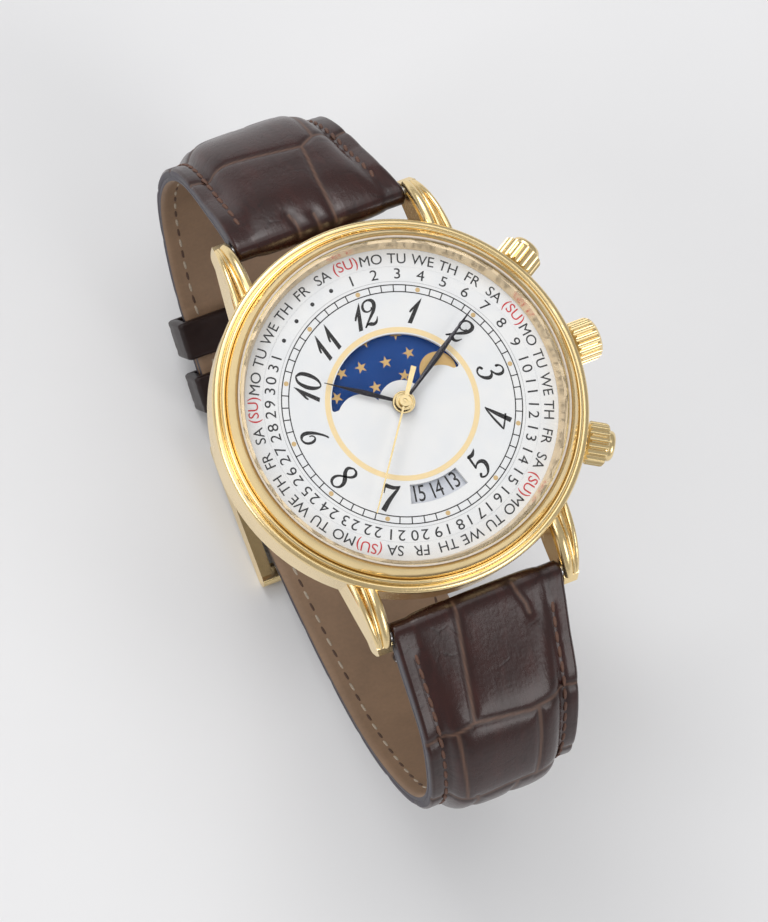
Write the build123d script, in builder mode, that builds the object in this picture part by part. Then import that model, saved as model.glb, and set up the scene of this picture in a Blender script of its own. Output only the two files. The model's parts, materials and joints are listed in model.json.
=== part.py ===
from build123d import *
import math
import os

os.makedirs("parts", exist_ok=True)

# Frame: +Z leaves the dial, +Y points to 12 o'clock, +X to 3 o'clock.
# The origin is the centre of the case back's outer face.

# Case
case_radius = 18.23            # outermost point of the outer bead
bead_overhang = 0.15
flank_radius = case_radius - bead_overhang    # satin flank under the bead
case_bore = 15.4               # cavity for the movement
flank_bottom = 1.3             # height of the case's lower rim
flank_chamfer = 0.35
dial_top = 6.3                 # printed face of the dial
dial_thickness = 0.4
bead_radius = 0.46
bead_centre_radius = case_radius - bead_radius
bead_centre_height = dial_top - 0.42
seat_height = dial_top - 0.35  # shoulder that the bezel sits on
fit_gap = 0.02                 # gap of a close fixed fit
run_gap = 0.03                 # radial gap of a running fit
overrun = 1.0                  # extra depth of every cutting tool

# Bezel, crystal and rehaut
bezel_inner = 16.06
bezel_bore = 15.75
bezel_outer = 17.5
bezel_crest_radius = 16.35
bezel_crest = dial_top + 1.95
bezel_lip = dial_top + 1.62
bezel_slope_radius = 16.8
bezel_slope_height = dial_top + 1.22
thin_bead_radius = 0.2
thin_bead_centre = 17.24
thin_bead_height = dial_top + 0.42
groove_floor = dial_top + 0.3
crystal_radius = 15.85
crystal_seat = dial_top + 1.45
crystal_thickness = 0.8
crystal_bevel = 0.35
crystal_gasket_height = 0.35
rehaut_inner = 15.15
rehaut_top_inner = 15.45
rehaut_lift = 0.06             # clearance over the weekday ring

# Case back
back_plate_lap = 0.8           # how far the plate reaches under the case
back_plate_radius = case_bore + back_plate_lap
back_dish = 1.8                # width of the slope round the outer face
back_face_radius = back_plate_radius - back_dish
back_thickness = 0.8
back_rim_gap = 0.05
back_rim_outer = case_bore - back_rim_gap
back_rim_wall = 0.55
back_rim_inner = back_rim_outer - back_rim_wall
back_rim_top = 2.1
back_groove_wall = 0.2         # metal left on each side of the gasket's groove
back_gasket_inner = back_rim_outer + back_groove_wall
back_gasket_outer = back_plate_radius - back_groove_wall
back_gasket_depth = 0.35
back_notch_width = 2.6
back_notch_depth = 0.5
back_notch_deg = 200

# Crowns, all three on the flank's mid height
crown_axis = 3.4
crown_step_deg = 30
crown_radius = 2.12
crown_gap = 0.22
crown_start = case_radius + crown_gap
crown_body_length = 2.15
crown_flutes = 20
crown_flute_depth = 0.2
crown_chamfer = 0.35
crown_skirt_bore = 1.0
crown_skirt_depth = 0.6
cap_radius = 1.5
cap_height = 0.7
main_crown_length = 2.75
flute_radius = 0.3
cap_round = 0.45
main_crown_round = 0.8
stem_socket = 1.5
stem_radius = 0.35
stem_bore_gap = 0.04
tube_radius = 0.75
tube_inner_end = 15.0
tube_overlap = 0.25
tube_outer_end = crown_start + tube_overlap
stem_seal_length = 0.8
stem_seal_radius = 0.6

# Outer weekday ring, driven from below
ring_outer = 15.3
dial_radius = 13.4
ring_clearance = 0.05
ring_plate = 0.3
day_teeth = 105
day_pinion_teeth = 14
day_pitch_height = dial_top - 1.0
day_teeth_inner = 13.95
day_teeth_outer = 14.6
face_tooth_reach = 0.2
face_root_gap = 0.3
face_tooth_share = 0.3
tooth_tip_share = 0.2
tooth_root_share = 0.3

# Moon disc and date ring under the dial
disc_top = 5.65
disc_thickness = 0.25
moon_radius = 7.08
moon_bore = 1.02
moon_teeth = 44
moon_pinion_teeth = 12
moon_pitch_height = 5.1
moon_teeth_inner = 5.9
moon_teeth_outer = 6.6
date_inner = 7.6
date_outer = 10.6
date_teeth = 31
date_tooth_depth = 0.2

# Moon window and date window in the dial
window_arc = 6.85
hump_radius = 2.35
hump_centre = 4.15
window_tip_height = 1.5
window_tip_from = 4.6
window_tip_round = 0.25
hub_disc_radius = 2.3
date_window_inner = 7.85
date_window_outer = 9.72
date_window_half_deg = 17.7
dial_hole = 0.78

# Main plate and movement
plate_radius = 12.95
plate_bottom = 3.9
plate_top = 4.7
plate_wall_inner = 10.75
plate_wall_top = disc_top + run_gap
guide_inner = 7.2
guide_outer = 7.48
guide_top = 5.72
date_rest_inner = 9.9
date_rest_outer = date_outer
date_rest_top = disc_top - disc_thickness - ring_clearance
moon_slot_gap = 0.15
cover_radius = 5.6
cover_wall = 0.3
cover_bottom = 5.24
cover_top = 5.34
cover_collar_top = 5.75
cover_collar = 0.96
cover_collar_bore = 0.7
guard_inner = 10.3
guard_thickness = 0.18
guard_outer = 12.9
ring_mount_top = dial_top - dial_thickness
ring_land_top = dial_top - ring_plate - run_gap
ring_mount_step_radius = 14.75
ring_mount_step_height = 2.15
ring_mount_bottom = 1.0
ring_mount_inner = 13.0
ring_mount_channel_inner = 13.8
ring_mount_channel_outer = 14.75
ring_mount_channel_floor = 4.9
pinion_pocket_gap = 0.22
bridge_bottom = 1.85
bridge_top = 2.25
bridge_pad = 1.0
bridge_arm = 0.75
pillar_radius = 0.55
pillar_places = [(-7.6, -3.2), (4.0, -5.6), (-1.8, 6.6)]
post_radius = 0.5
post_pin_radius = 0.22

# Gear levels, lowest first
level_height = 0.18
level_a = 2.45
level_b = 2.8
level_c = 3.12
level_d = 3.45
level_minute = 4.76
level_hour = 5.02
shaft_radius = 0.22
pivot_radius = 0.12

# Gear counts and distances
seconds_wheel_teeth = 40
transfer_pinion_teeth = 8
transfer_wheel_teeth = 36
rotor_pinion_teeth = 6
seconds_pinion_teeth = 8
third_wheel_teeth = 60
third_pinion_teeth = 8
centre_wheel_teeth = 64
cannon_teeth = 12
minute_wheel_teeth = 36
minute_pinion_teeth = 10
hour_wheel_teeth = 40
third_distance = 4.5
transfer_distance = 4.5
rotor_distance = 2.73
minute_distance = 2.88
third_bearing_deg = 150
transfer_bearing_deg = 240
rotor_bearing_deg = 300
minute_bearing_deg = 110
wheel_tooth_share = 0.34
pinion_tooth_share = 0.3
pinion_hub_share = 0.85

# Hands
seconds_arbor = 0.11
cannon_bore = seconds_arbor + run_gap
cannon_radius = 0.34
hour_pipe_bore = cannon_radius + run_gap
hour_pipe_radius = 0.66
hour_hand_height = dial_top + 0.45
minute_hand_height = dial_top + 0.8
seconds_hand_height = dial_top + 1.12
hand_thickness = 0.15
hour_hand_length = 7.75
minute_hand_length = 10.85
seconds_hand_length = 11.25
seconds_tail_length = 3.2
hour_hand_deg = 303.5
minute_hand_deg = 57.4
seconds_hand_deg = 216.4
hour_boss_radius = 1.1
minute_boss_radius = 0.86
seconds_boss_radius = 0.56
hour_hand_width = 0.62
minute_hand_width = 0.58
hand_root_width = 0.3
seconds_hand_width = 0.13
seconds_tail_width = 0.36
boss_lip = 0.12
seconds_cap_height = 0.1
hour_belly_share = 0.62
minute_belly_share = 0.66
hand_tip_width = 0.1

# Battery, coil, stator, quartz and circuit
battery_radius = 3.95
battery_height = 1.55
battery_x = 3.4
battery_y = 7.6
battery_bottom = 1.15
battery_rim = 0.2
battery_seat_width = 0.6
clamp_thickness = 0.15
clamp_width = 2.0
clamp_reach = 4.75
clamp_turn_deg = -20
board_bottom = 1.0
board_thickness = 0.2
board_inner = 8.4
board_outer = 12.4
board_start_deg = 160
board_sweep_deg = 150
board_post_radius = 11.6
board_post_deg = [215, 300]
coil_y = -10.4
coil_x = -1.2
coil_height = 2.05
coil_core_radius = 0.32
coil_radius = 0.75
coil_length = 8.4
coil_winding_length = 6.6
stator_thickness = 0.2
stator_width = 2.4
stator_leg = 0.8
stator_hole = 0.95
rotor_magnet = 0.75
rotor_magnet_height = 0.3
rotor_magnet_bottom = 2.38
quartz_radius = 0.75
quartz_length = 4.2
quartz_x = -10.6
quartz_y = 1.0
quartz_height = 2.0
screw_head = 0.6
screw_head_height = 0.25
screw_shank = 0.32
screw_length = 0.8
screw_slot = 0.15

# Setting lever
lever_x = 9.0
lever_width = 1.4
lever_length = 3.0
lever_thickness = 0.3
lever_bottom = 2.4
groove_width = 0.5
groove_radius = 0.22
main_stem_inner = 5.2
moon_stem_inner = 5.8

# Lugs and spring bars
lug_gap = 18.1
lug_inner = lug_gap / 2
lug_bar_gap = 1.67             # from the case's bead to the spring bar's axis
lug_bar_y = case_radius + lug_bar_gap
lug_bar_height = 2.9
lug_tip_reach = 1.35
lug_tip_y = lug_bar_y + lug_tip_reach
lug_root_reach = 5.63          # how far a lug runs back into the case
lug_root_y = case_radius - lug_root_reach
lug_depth = 6.0
lug_plan_shares = [
    (0.0, 0.0), (0.0, 1.0), (0.58, 1.0), (0.66, 0.93), (0.66, 0.78), (0.8, 0.5), (1.0, 0.13), (0.64, 0.0),
]
lug_plan_width = 2.4
lug_side_shares = [
    (0.0, -0.22), (0.5, -0.29), (0.8, -0.42), (0.94, -0.56), (1.0, -0.72), (0.98, -0.86),
    (0.89, -0.97), (0.5, -0.95), (0.0, -0.86),
]
strand_inner_radius = 0.5
strand_mid_radius = 0.22
strand_outer_radius = 0.28
strand_line_shares = [(0.245, -0.115), (0.63, -0.2), (0.915, -0.55)]
strand_inner_shares = [0.285, 0.63, 0.905]
strand_mid_shares = [(0.52, 0.21), (0.5, 0.6), (0.47, 0.915)]
strand_outer_shares = [(0.865, 0.168), (0.74, 0.6), (0.56, 0.9)]
bar_radius = 0.75
bar_shoulder = 0.6
bar_tip_radius = 0.4
bar_tip_length = 0.8

# Strap loop, seen from the side
strap_end_half_width = 8.85
strap_buckle_half_width = 8.1
leather_lug_thickness = 0.95
leather_buckle_thickness = 0.75
lining_lug_thickness = 0.65
lining_buckle_thickness = 0.55
strap_end_radius = 1.42
strap_bore_radius = 0.85
margin_width = 2.0
shoulder_run = 0.7
shoulder_soft_run = 2.2
crown_pad = 1.45
least_pad = 0.05
loop_reach_far = 33.6          # from the centre to the bend on the 12 o'clock side
loop_reach_near = 35.8         # from the centre to the bend on the 6 o'clock side
loop_depth = 45.5
strap_stations = 20
# Margin's line: first shares of the way from the spring bar to the bend, then shares of the reach
upper_out_shares = [
    (0.0, 0.0642), (0.1907, 0.0989), (0.4236, 0.1604), (0.664, 0.2308), (0.8467, 0.3055),
    (0.9632, 0.4066), (1.0, 0.51),
]
upper_back_shares = [(0.985, 0.602), (0.94, 0.681), (0.869, 0.752), (0.783, 0.82), (0.6964, 0.868)]
upper_pad_shares = [0.62, 0.82, 0.97, 1.0, 1.0, 0.96, 0.88, 0.78, 0.62, 0.42, 0.2, 0.0]
upper_edge_shares = [0.75, 0.5, 0.1, 0.0, 0.0, 0.0, 0.0, 0.0, 0.0, 0.0, 0.0, 0.0]
lower_out_shares = [
    (0.0, 0.0642), (0.1692, 0.0901), (0.3966, 0.1209), (0.6352, 0.158), (0.8356, 0.233), (0.9685, 0.321),
]
lower_back_shares = [
    (0.994, 0.4286), (0.955, 0.5385), (0.866, 0.655), (0.726, 0.767), (0.559, 0.844),
    (0.377, 0.901), (0.204, 0.943), (0.028, 0.979), (-0.112, 1.004),
]
lower_pad_shares = [0.62, 0.82, 0.97, 1.0, 1.0, 0.96, 0.86, 0.72, 0.56, 0.42, 0.3, 0.2, 0.1, 0.0]
lower_edge_shares = [0.75, 0.5, 0.1] + [0.0] * 11
pad_edge_share = 0.6
pad_soft_share = 0.92

# Buckle end of the loop, where the tail lies outside the buckle piece
keeper_slope_deg = 20
upper_straight_length = 11.8
bend_lengths = [2.2, 2.05]
bend_slopes_deg = [17, 8]
layer_gap = 0.1
tail_start = 2.4
keeper_thickness = 0.9
keeper_clearance = 0.25
keeper_round = 0.6
free_keeper_start = 1.35
free_keeper_length = 4.0
fixed_keeper_start = 7.3
fixed_keeper_length = 4.0
fixed_keeper_thickness = 1.05
hole_radius = 0.9
hole_spacing = 6.5
hole_count = 4
first_hole_distance = 12.0     # along the strap, from the tongue's slot
buckle_bar_y = 8.0
buckle_bar_lift = 2.2
buckle_bar_height = dial_top - loop_depth + buckle_bar_lift
buckle_bar_radius = 0.5
barrel_radius = 1.1
rail_width = 1.3
rail_side_gap = 0.35
rail_end_radius = 1.0
bar_inset = 0.9
crossbar_y = -5.6
crossbar_lift = 0.45
crossbar_height = dial_top - loop_depth + crossbar_lift
crossbar_radius = 1.05
tongue_width = 1.6
tongue_thickness = 0.8
tongue_eye_radius = 0.85
tongue_near_run = 1.6
tongue_near_drop = 0.15
tongue_far_run = 7.2
tongue_far_drop = 0.57
tongue_overhang = 1.1
tongue_bend_near = (buckle_bar_y - tongue_near_run, buckle_bar_height - tongue_near_drop)
tongue_bend_far = (crossbar_y + tongue_far_run, crossbar_height - tongue_far_drop)
tongue_tip_y = crossbar_y - tongue_overhang
tongue_slot_gap = 0.35
tongue_slot_near = 7.2
tongue_slot_far = 0.2
notch_gap = 0.12


def polar(radius, degrees):
    return (radius * math.cos(math.radians(degrees)), radius * math.sin(math.radians(degrees)))


def clock(radius, degrees):
    return (radius * math.sin(math.radians(degrees)), radius * math.cos(math.radians(degrees)))


# Outline of a small gear: narrow flat-sided teeth leave room for their neighbours
def gear_outline(teeth, pitch_radius, tooth_share, turn_deg=0.0):
    pitch = 2 * math.pi * pitch_radius / teeth
    tip = pitch_radius + pitch * tooth_tip_share
    root = pitch_radius - pitch * tooth_root_share
    step = 2 * math.pi / teeth
    points = []
    for n in range(teeth):
        middle = n * step + math.radians(turn_deg)
        for radius, spread in ((root, -0.65), (tip, -0.32), (tip, 0.32), (root, 0.65)):
            angle = middle + spread * tooth_share * step
            points.append((radius * math.cos(angle), radius * math.sin(angle)))
    return points


def finish(builder, name):
    builder.part.label = name
    export_step(builder.part, "parts/" + name + ".step")


# Flat ring between two radii, drawn at a height
def ring_face(outer, inner, height):
    with BuildSketch(Plane.XY.offset(height)) as ring:
        Circle(outer)
        Circle(inner, mode=Mode.SUBTRACT)
    return ring.sketch


# Discs of one radius, drawn at several places at a height
def disc_faces(radius, places, height):
    with BuildSketch(Plane.XY.offset(height)) as discs:
        with Locations(*places):
            Circle(radius)
    return discs.sketch


# Plane square to a crown's axis, at a distance from the centre
def crown_plane(place, distance):
    along = polar(1, place * crown_step_deg)
    origin = (along[0] * distance, along[1] * distance, crown_axis)
    return Plane(origin=origin, x_dir=(0, 0, 1), z_dir=(along[0], along[1], 0))


# Case middle: flank, outer bead and four lugs of three strands each
def lug_point(shares):
    return (lug_inner + shares[0] * lug_plan_width, lug_root_y + shares[1] * (lug_tip_y - lug_root_y))


def lug_side(shares):
    return (lug_root_y + shares[0] * (lug_tip_y - lug_root_y), dial_top + shares[1] * lug_depth)


def strand_points(plan):
    points = []
    for line, place in zip(strand_line_shares, plan):
        x = lug_inner + place[0] * lug_plan_width
        y = lug_root_y + place[1] * (lug_tip_y - lug_root_y)
        points.append((x, y, dial_top + line[1] * lug_depth))
    return points


with BuildPart() as lug:
    with BuildSketch(Plane.XY):
        with BuildLine():
            Polyline(*[lug_point(p) for p in lug_plan_shares], close=True)
        make_face()
    extrude(amount=dial_top)
    with BuildSketch(Plane.YZ):
        with BuildLine():
            Polyline(*[lug_side(p) for p in lug_side_shares], close=True)
        make_face()
    extrude(amount=lug_inner + lug_plan_width + overrun, mode=Mode.INTERSECT)
    inner_share = strand_inner_radius / lug_plan_width
    inner_plan = [(inner_share, share) for share in strand_inner_shares]
    for radius, plan in (
        (strand_inner_radius, inner_plan),
        (strand_mid_radius, strand_mid_shares),
        (strand_outer_radius, strand_outer_shares),
    ):
        with BuildLine():
            strand = ThreePointArc(*strand_points(plan))
        with BuildSketch(Plane(origin=strand @ 0, z_dir=strand % 0)):
            Circle(radius)
        sweep(path=strand)
        with Locations(strand @ 1):
            Sphere(radius)

with BuildPart() as case_middle:
    with BuildSketch(Plane.XZ):
        with BuildLine():
            Polyline(
                (case_bore, flank_bottom),
                (flank_radius - flank_chamfer, flank_bottom),
                (flank_radius, flank_bottom + flank_chamfer),
                (flank_radius, bead_centre_height),
                (bead_centre_radius, bead_centre_height),
                (bead_centre_radius, seat_height),
                (case_bore, seat_height),
                close=True,
            )
        make_face()
        with Locations((bead_centre_radius, bead_centre_height)):
            Circle(bead_radius)
    revolve(axis=Axis.Z)
    add(lug.part)
    mirror(lug.part, about=Plane.YZ)
    mirror(lug.part, about=Plane.XZ)
    mirror(lug.part.mirror(Plane.YZ), about=Plane.XZ)
    with BuildSketch(Plane.XY.offset(-overrun)):
        Circle(case_bore)
    extrude(amount=dial_top + case_bore, mode=Mode.SUBTRACT)
    with BuildSketch(Plane.XY.offset(flank_bottom - overrun)):
        Circle(back_plate_radius + fit_gap)
    extrude(amount=overrun, mode=Mode.SUBTRACT)
    with BuildSketch(Plane.XY.offset(seat_height)):
        Circle(bezel_outer + fit_gap)
    extrude(amount=case_bore, mode=Mode.SUBTRACT)
    for sign in (1, -1):
        with Locations((0, sign * lug_bar_y, lug_bar_height)):
            Cylinder(
                bar_tip_radius + fit_gap,
                lug_gap + 2 * (bar_tip_length + fit_gap),
                rotation=(0, 90, 0),
                mode=Mode.SUBTRACT,
            )
    for place in (-1, 0, 1):
        with BuildSketch(crown_plane(place, 0)):
            Circle(tube_radius + fit_gap)
        extrude(amount=case_radius + overrun, mode=Mode.SUBTRACT)
finish(case_middle, "case_middle")


# Bezel: polished slope above a groove and a thin bead
slope_foot = thin_bead_centre - thin_bead_radius
with BuildPart() as bezel:
    with BuildSketch(Plane.XZ):
        with BuildLine():
            Polyline(
                (slope_foot, groove_floor),
                (thin_bead_centre, thin_bead_height - thin_bead_radius),
                (bezel_outer, thin_bead_height - thin_bead_radius),
                (bezel_outer, seat_height),
                (bezel_bore, seat_height),
                (bezel_bore, crystal_seat),
                (bezel_inner, crystal_seat),
                (bezel_inner, bezel_lip),
                (bezel_crest_radius, bezel_crest),
            )
            ThreePointArc(
                (bezel_crest_radius, bezel_crest),
                (bezel_slope_radius, bezel_slope_height),
                (slope_foot, groove_floor),
            )
        make_face()
        with Locations((thin_bead_centre, thin_bead_height)):
            Circle(thin_bead_radius)
    revolve(axis=Axis.Z)
finish(bezel, "bezel")

# Crystal with a bevelled rim, and the gasket round it
with BuildPart() as crystal:
    with BuildSketch(Plane.XY.offset(crystal_seat)):
        Circle(crystal_radius)
    extrude(amount=crystal_thickness)
    chamfer(crystal.edges().group_by(Axis.Z)[-1], crystal_bevel)
finish(crystal, "crystal")

with BuildPart() as crystal_gasket:
    extrude(
        ring_face(bezel_inner - fit_gap, crystal_radius + fit_gap, crystal_seat),
        amount=crystal_gasket_height,
    )
finish(crystal_gasket, "crystal_gasket")

# Sloping gold ring between the dial and the crystal
with BuildPart() as rehaut_ring:
    with BuildSketch(Plane.XZ):
        with BuildLine():
            Polyline(
                (rehaut_inner, dial_top + rehaut_lift),
                (rehaut_top_inner, crystal_seat),
                (bezel_bore - fit_gap, crystal_seat),
                (bezel_bore - fit_gap, seat_height),
                (case_bore + fit_gap, seat_height),
                (case_bore + fit_gap, dial_top + rehaut_lift),
                close=True,
            )
        make_face()
    revolve(axis=Axis.Z)
finish(rehaut_ring, "rehaut_ring")

# Snap-on case back with its rim and opening notch, and the gasket in it
with BuildPart() as case_back:
    with BuildSketch(Plane.XZ):
        with BuildLine():
            Polyline(
                (0, 0),
                (back_face_radius, 0),
                (back_plate_radius, back_thickness),
                (back_plate_radius, flank_bottom),
                (back_rim_outer, flank_bottom),
                (back_rim_outer, back_rim_top),
                (back_rim_inner, back_rim_top),
                (back_rim_inner, back_thickness),
                (0, back_thickness),
                close=True,
            )
        make_face()
    revolve(axis=Axis.Z)
    extrude(
        ring_face(back_gasket_outer, back_gasket_inner, flank_bottom - back_gasket_depth),
        amount=back_gasket_depth + overrun,
        mode=Mode.SUBTRACT,
    )
    notch_place = clock(back_plate_radius, back_notch_deg)
    with BuildSketch(Plane(origin=(*notch_place, 0), x_dir=(*notch_place, 0), z_dir=(0, 0, 1))):
        Rectangle(2 * back_notch_depth, back_notch_width)
    extrude(amount=flank_bottom - back_gasket_depth, mode=Mode.SUBTRACT)
finish(case_back, "case_back")

with BuildPart() as back_gasket:
    extrude(
        ring_face(back_gasket_outer - fit_gap, back_gasket_inner + fit_gap, flank_bottom - back_gasket_depth),
        amount=back_gasket_depth,
    )
finish(back_gasket, "back_gasket")

# Plastic ring that centres the movement and carries the dial and the weekday ring
day_pinion_pitch = (day_teeth_inner + day_teeth_outer) / 2 * day_pinion_teeth / day_teeth
moon_pinion_pitch = (moon_teeth_inner + moon_teeth_outer) / 2 * moon_pinion_teeth / moon_teeth
with BuildPart() as ring_mount:
    extrude(
        ring_face(ring_outer, ring_mount_inner, ring_mount_bottom),
        amount=ring_land_top - ring_mount_bottom,
    )
    extrude(
        ring_face(ring_mount_channel_outer, ring_mount_inner - overrun, ring_mount_top),
        amount=overrun,
        mode=Mode.SUBTRACT,
    )
    extrude(
        ring_face(ring_mount_channel_outer, ring_mount_channel_inner, ring_mount_channel_floor),
        amount=dial_top - ring_mount_channel_floor,
        mode=Mode.SUBTRACT,
    )
    extrude(
        ring_face(ring_outer + overrun, ring_mount_step_radius, ring_mount_bottom - overrun),
        amount=ring_mount_step_height - ring_mount_bottom + overrun,
        mode=Mode.SUBTRACT,
    )
    with BuildSketch(crown_plane(1, day_teeth_inner - pinion_pocket_gap)):
        Circle(day_pinion_pitch + 2 * pinion_pocket_gap)
    extrude(amount=day_teeth_outer - day_teeth_inner + 2 * pinion_pocket_gap, mode=Mode.SUBTRACT)
    for place in (-1, 0, 1):
        with BuildSketch(crown_plane(place, ring_mount_inner - overrun)):
            Circle(tube_radius + fit_gap)
        extrude(amount=ring_outer, mode=Mode.SUBTRACT)
finish(ring_mount, "ring_mount")

# Dial with the moon window and the date window
with BuildPart() as dial:
    with BuildSketch(Plane.XY.offset(dial_top - dial_thickness)):
        Circle(dial_radius)
        Circle(dial_hole, mode=Mode.SUBTRACT)
    extrude(amount=dial_thickness)
    with BuildSketch(Plane.XY.offset(dial_top - dial_thickness)) as moon_window:
        Circle(window_arc)
        with Locations((0, -window_arc)):
            Rectangle(2 * window_arc, 2 * window_arc, mode=Mode.SUBTRACT)
        Circle(hub_disc_radius, mode=Mode.SUBTRACT)
        with Locations((hump_centre, 0), (-hump_centre, 0)):
            Circle(hump_radius, mode=Mode.SUBTRACT)
        with Locations((window_tip_from + window_arc / 2, 0), (-window_tip_from - window_arc / 2, 0)):
            Rectangle(window_arc, 2 * window_tip_height, mode=Mode.SUBTRACT)
        for side in (-1, 1):
            tips = moon_window.vertices().sort_by_distance((side * window_arc, window_tip_height))
            fillet(tips[:2], window_tip_round)
    extrude(amount=dial_thickness, mode=Mode.SUBTRACT)
    with BuildSketch(Plane.XY.offset(dial_top - dial_thickness)):
        Circle(date_window_outer)
        Circle(date_window_inner, mode=Mode.SUBTRACT)
        with BuildLine():
            Polyline(
                (0, 0),
                clock(dial_radius, 180 - date_window_half_deg),
                clock(dial_radius, 180 + date_window_half_deg),
                close=True,
            )
        make_face(mode=Mode.INTERSECT)
    extrude(amount=dial_thickness, mode=Mode.SUBTRACT)
finish(dial, "dial")


# Main plate with the calendar's walls and the posts that carry the parts below it
plate_thickness = plate_top - plate_bottom
third_place = polar(third_distance, third_bearing_deg)
transfer_place = polar(transfer_distance, transfer_bearing_deg)
rotor_offset = polar(rotor_distance, rotor_bearing_deg)
rotor_place = (transfer_place[0] + rotor_offset[0], transfer_place[1] + rotor_offset[1])
minute_place = polar(minute_distance, minute_bearing_deg)
clamp_step = polar(clamp_reach, clamp_turn_deg)
clamp_places = [(battery_x + side * clamp_step[0], battery_y + side * clamp_step[1]) for side in (-1, 1)]
board_places = [polar(board_post_radius, angle) for angle in board_post_deg]
stator_places = [(coil_x + side * (coil_length - stator_leg) / 2, coil_y) for side in (-1, 1)]
stator_top = rotor_magnet_bottom + (rotor_magnet_height + stator_thickness) / 2
board_top = board_bottom + board_thickness
clamp_bottom = battery_bottom - clamp_thickness
with BuildPart() as main_plate:
    extrude(disc_faces(plate_radius, [(0, 0)], plate_bottom), amount=plate_thickness)
    extrude(ring_face(plate_radius, plate_wall_inner, plate_top), amount=plate_wall_top - plate_top)
    extrude(ring_face(guide_outer, guide_inner, plate_top), amount=guide_top - plate_top)
    extrude(ring_face(date_rest_outer, date_rest_inner, plate_top), amount=date_rest_top - plate_top)
    battery_seat_top = battery_bottom + battery_height
    with BuildSketch(Plane.XY.offset(battery_seat_top)):
        with Locations((battery_x, battery_y)):
            Circle(battery_radius)
            Circle(battery_radius - battery_seat_width, mode=Mode.SUBTRACT)
    extrude(amount=plate_bottom - battery_seat_top)
    extrude(disc_faces(pillar_radius, pillar_places, bridge_top), amount=plate_bottom - bridge_top)
    extrude(disc_faces(post_radius, clamp_places, battery_bottom), amount=plate_bottom - battery_bottom)
    extrude(disc_faces(post_pin_radius, clamp_places, clamp_bottom), amount=clamp_thickness)
    extrude(disc_faces(post_radius, board_places, board_top), amount=plate_bottom - board_top)
    extrude(disc_faces(post_pin_radius, board_places, board_bottom), amount=board_thickness)
    extrude(disc_faces(stator_leg / 2, stator_places, stator_top), amount=plate_bottom - stator_top)
    extrude(disc_faces(shaft_radius, [minute_place], plate_top), amount=level_hour + level_height - plate_top)
    extrude(
        disc_faces(screw_shank + fit_gap, pillar_places, bridge_top),
        amount=screw_length + screw_slot,
        mode=Mode.SUBTRACT,
    )
    extrude(
        disc_faces(cannon_radius + run_gap, [(0, 0)], plate_bottom - overrun),
        amount=plate_thickness + 2 * overrun,
        mode=Mode.SUBTRACT,
    )
    extrude(
        disc_faces(pivot_radius + run_gap, [third_place, transfer_place, rotor_place], plate_bottom),
        amount=plate_thickness / 2,
        mode=Mode.SUBTRACT,
    )
    slot_reach = moon_pinion_pitch + 2 * pinion_pocket_gap
    slot_length = moon_teeth_outer - moon_teeth_inner + 2 * moon_slot_gap
    slot_middle = polar((moon_teeth_inner + moon_teeth_outer) / 2, -crown_step_deg)
    with BuildSketch(Plane(origin=(*slot_middle, plate_bottom), x_dir=(*slot_middle, 0), z_dir=(0, 0, 1))):
        Rectangle(slot_length, 2 * slot_reach)
    extrude(amount=plate_thickness, mode=Mode.SUBTRACT)
finish(main_plate, "main_plate")

# Cover of the motion works, whose collar carries the moon disc
with BuildPart() as motion_cover:
    extrude(ring_face(cover_radius, cover_radius - cover_wall, plate_top), amount=cover_top - plate_top)
    extrude(ring_face(cover_radius, cover_collar_bore, cover_bottom), amount=cover_top - cover_bottom)
    extrude(ring_face(cover_collar, cover_collar_bore, cover_bottom), amount=cover_collar_top - cover_bottom)
finish(motion_cover, "motion_cover")

# Thin ring that keeps the date ring down
with BuildPart() as calendar_guard:
    extrude(ring_face(guard_outer, guard_inner, plate_wall_top), amount=guard_thickness)
finish(calendar_guard, "calendar_guard")


# Arm of a bridge between two pads
def arm_face(start, end, radius, height):
    with BuildSketch(Plane.XY.offset(height)) as arm:
        with Locations(start, end):
            Circle(radius)
        make_hull()
    return arm.sketch


# Bridge under the wheel train, with its three screws
bridge_thickness = bridge_top - bridge_bottom
with BuildPart() as train_bridge:
    for start, end in ((third_place, (0, 0)), ((0, 0), transfer_place), (transfer_place, rotor_place)):
        extrude(arm_face(start, end, bridge_pad, bridge_bottom), amount=bridge_thickness)
    for start, end in zip((transfer_place, rotor_place, third_place), pillar_places):
        extrude(arm_face(start, end, bridge_arm, bridge_bottom), amount=bridge_thickness)
    extrude(
        disc_faces(screw_shank + fit_gap, pillar_places, bridge_bottom),
        amount=bridge_thickness,
        mode=Mode.SUBTRACT,
    )
    pivots = [(0, 0), third_place, transfer_place, rotor_place]
    extrude(
        disc_faces(pivot_radius + run_gap, pivots, bridge_bottom),
        amount=bridge_thickness,
        mode=Mode.SUBTRACT,
    )
finish(train_bridge, "train_bridge")

with BuildPart() as bridge_screws:
    extrude(disc_faces(screw_shank, pillar_places, bridge_bottom), amount=bridge_thickness + screw_length)
    extrude(
        disc_faces(screw_head, pillar_places, bridge_bottom - screw_head_height),
        amount=screw_head_height,
    )
    with BuildSketch(Plane.XY.offset(bridge_bottom - screw_head_height)):
        with Locations(*pillar_places):
            Rectangle(2 * screw_head, screw_slot)
    extrude(amount=screw_head_height / 2, mode=Mode.SUBTRACT)
finish(bridge_screws, "bridge_screws")

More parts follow.
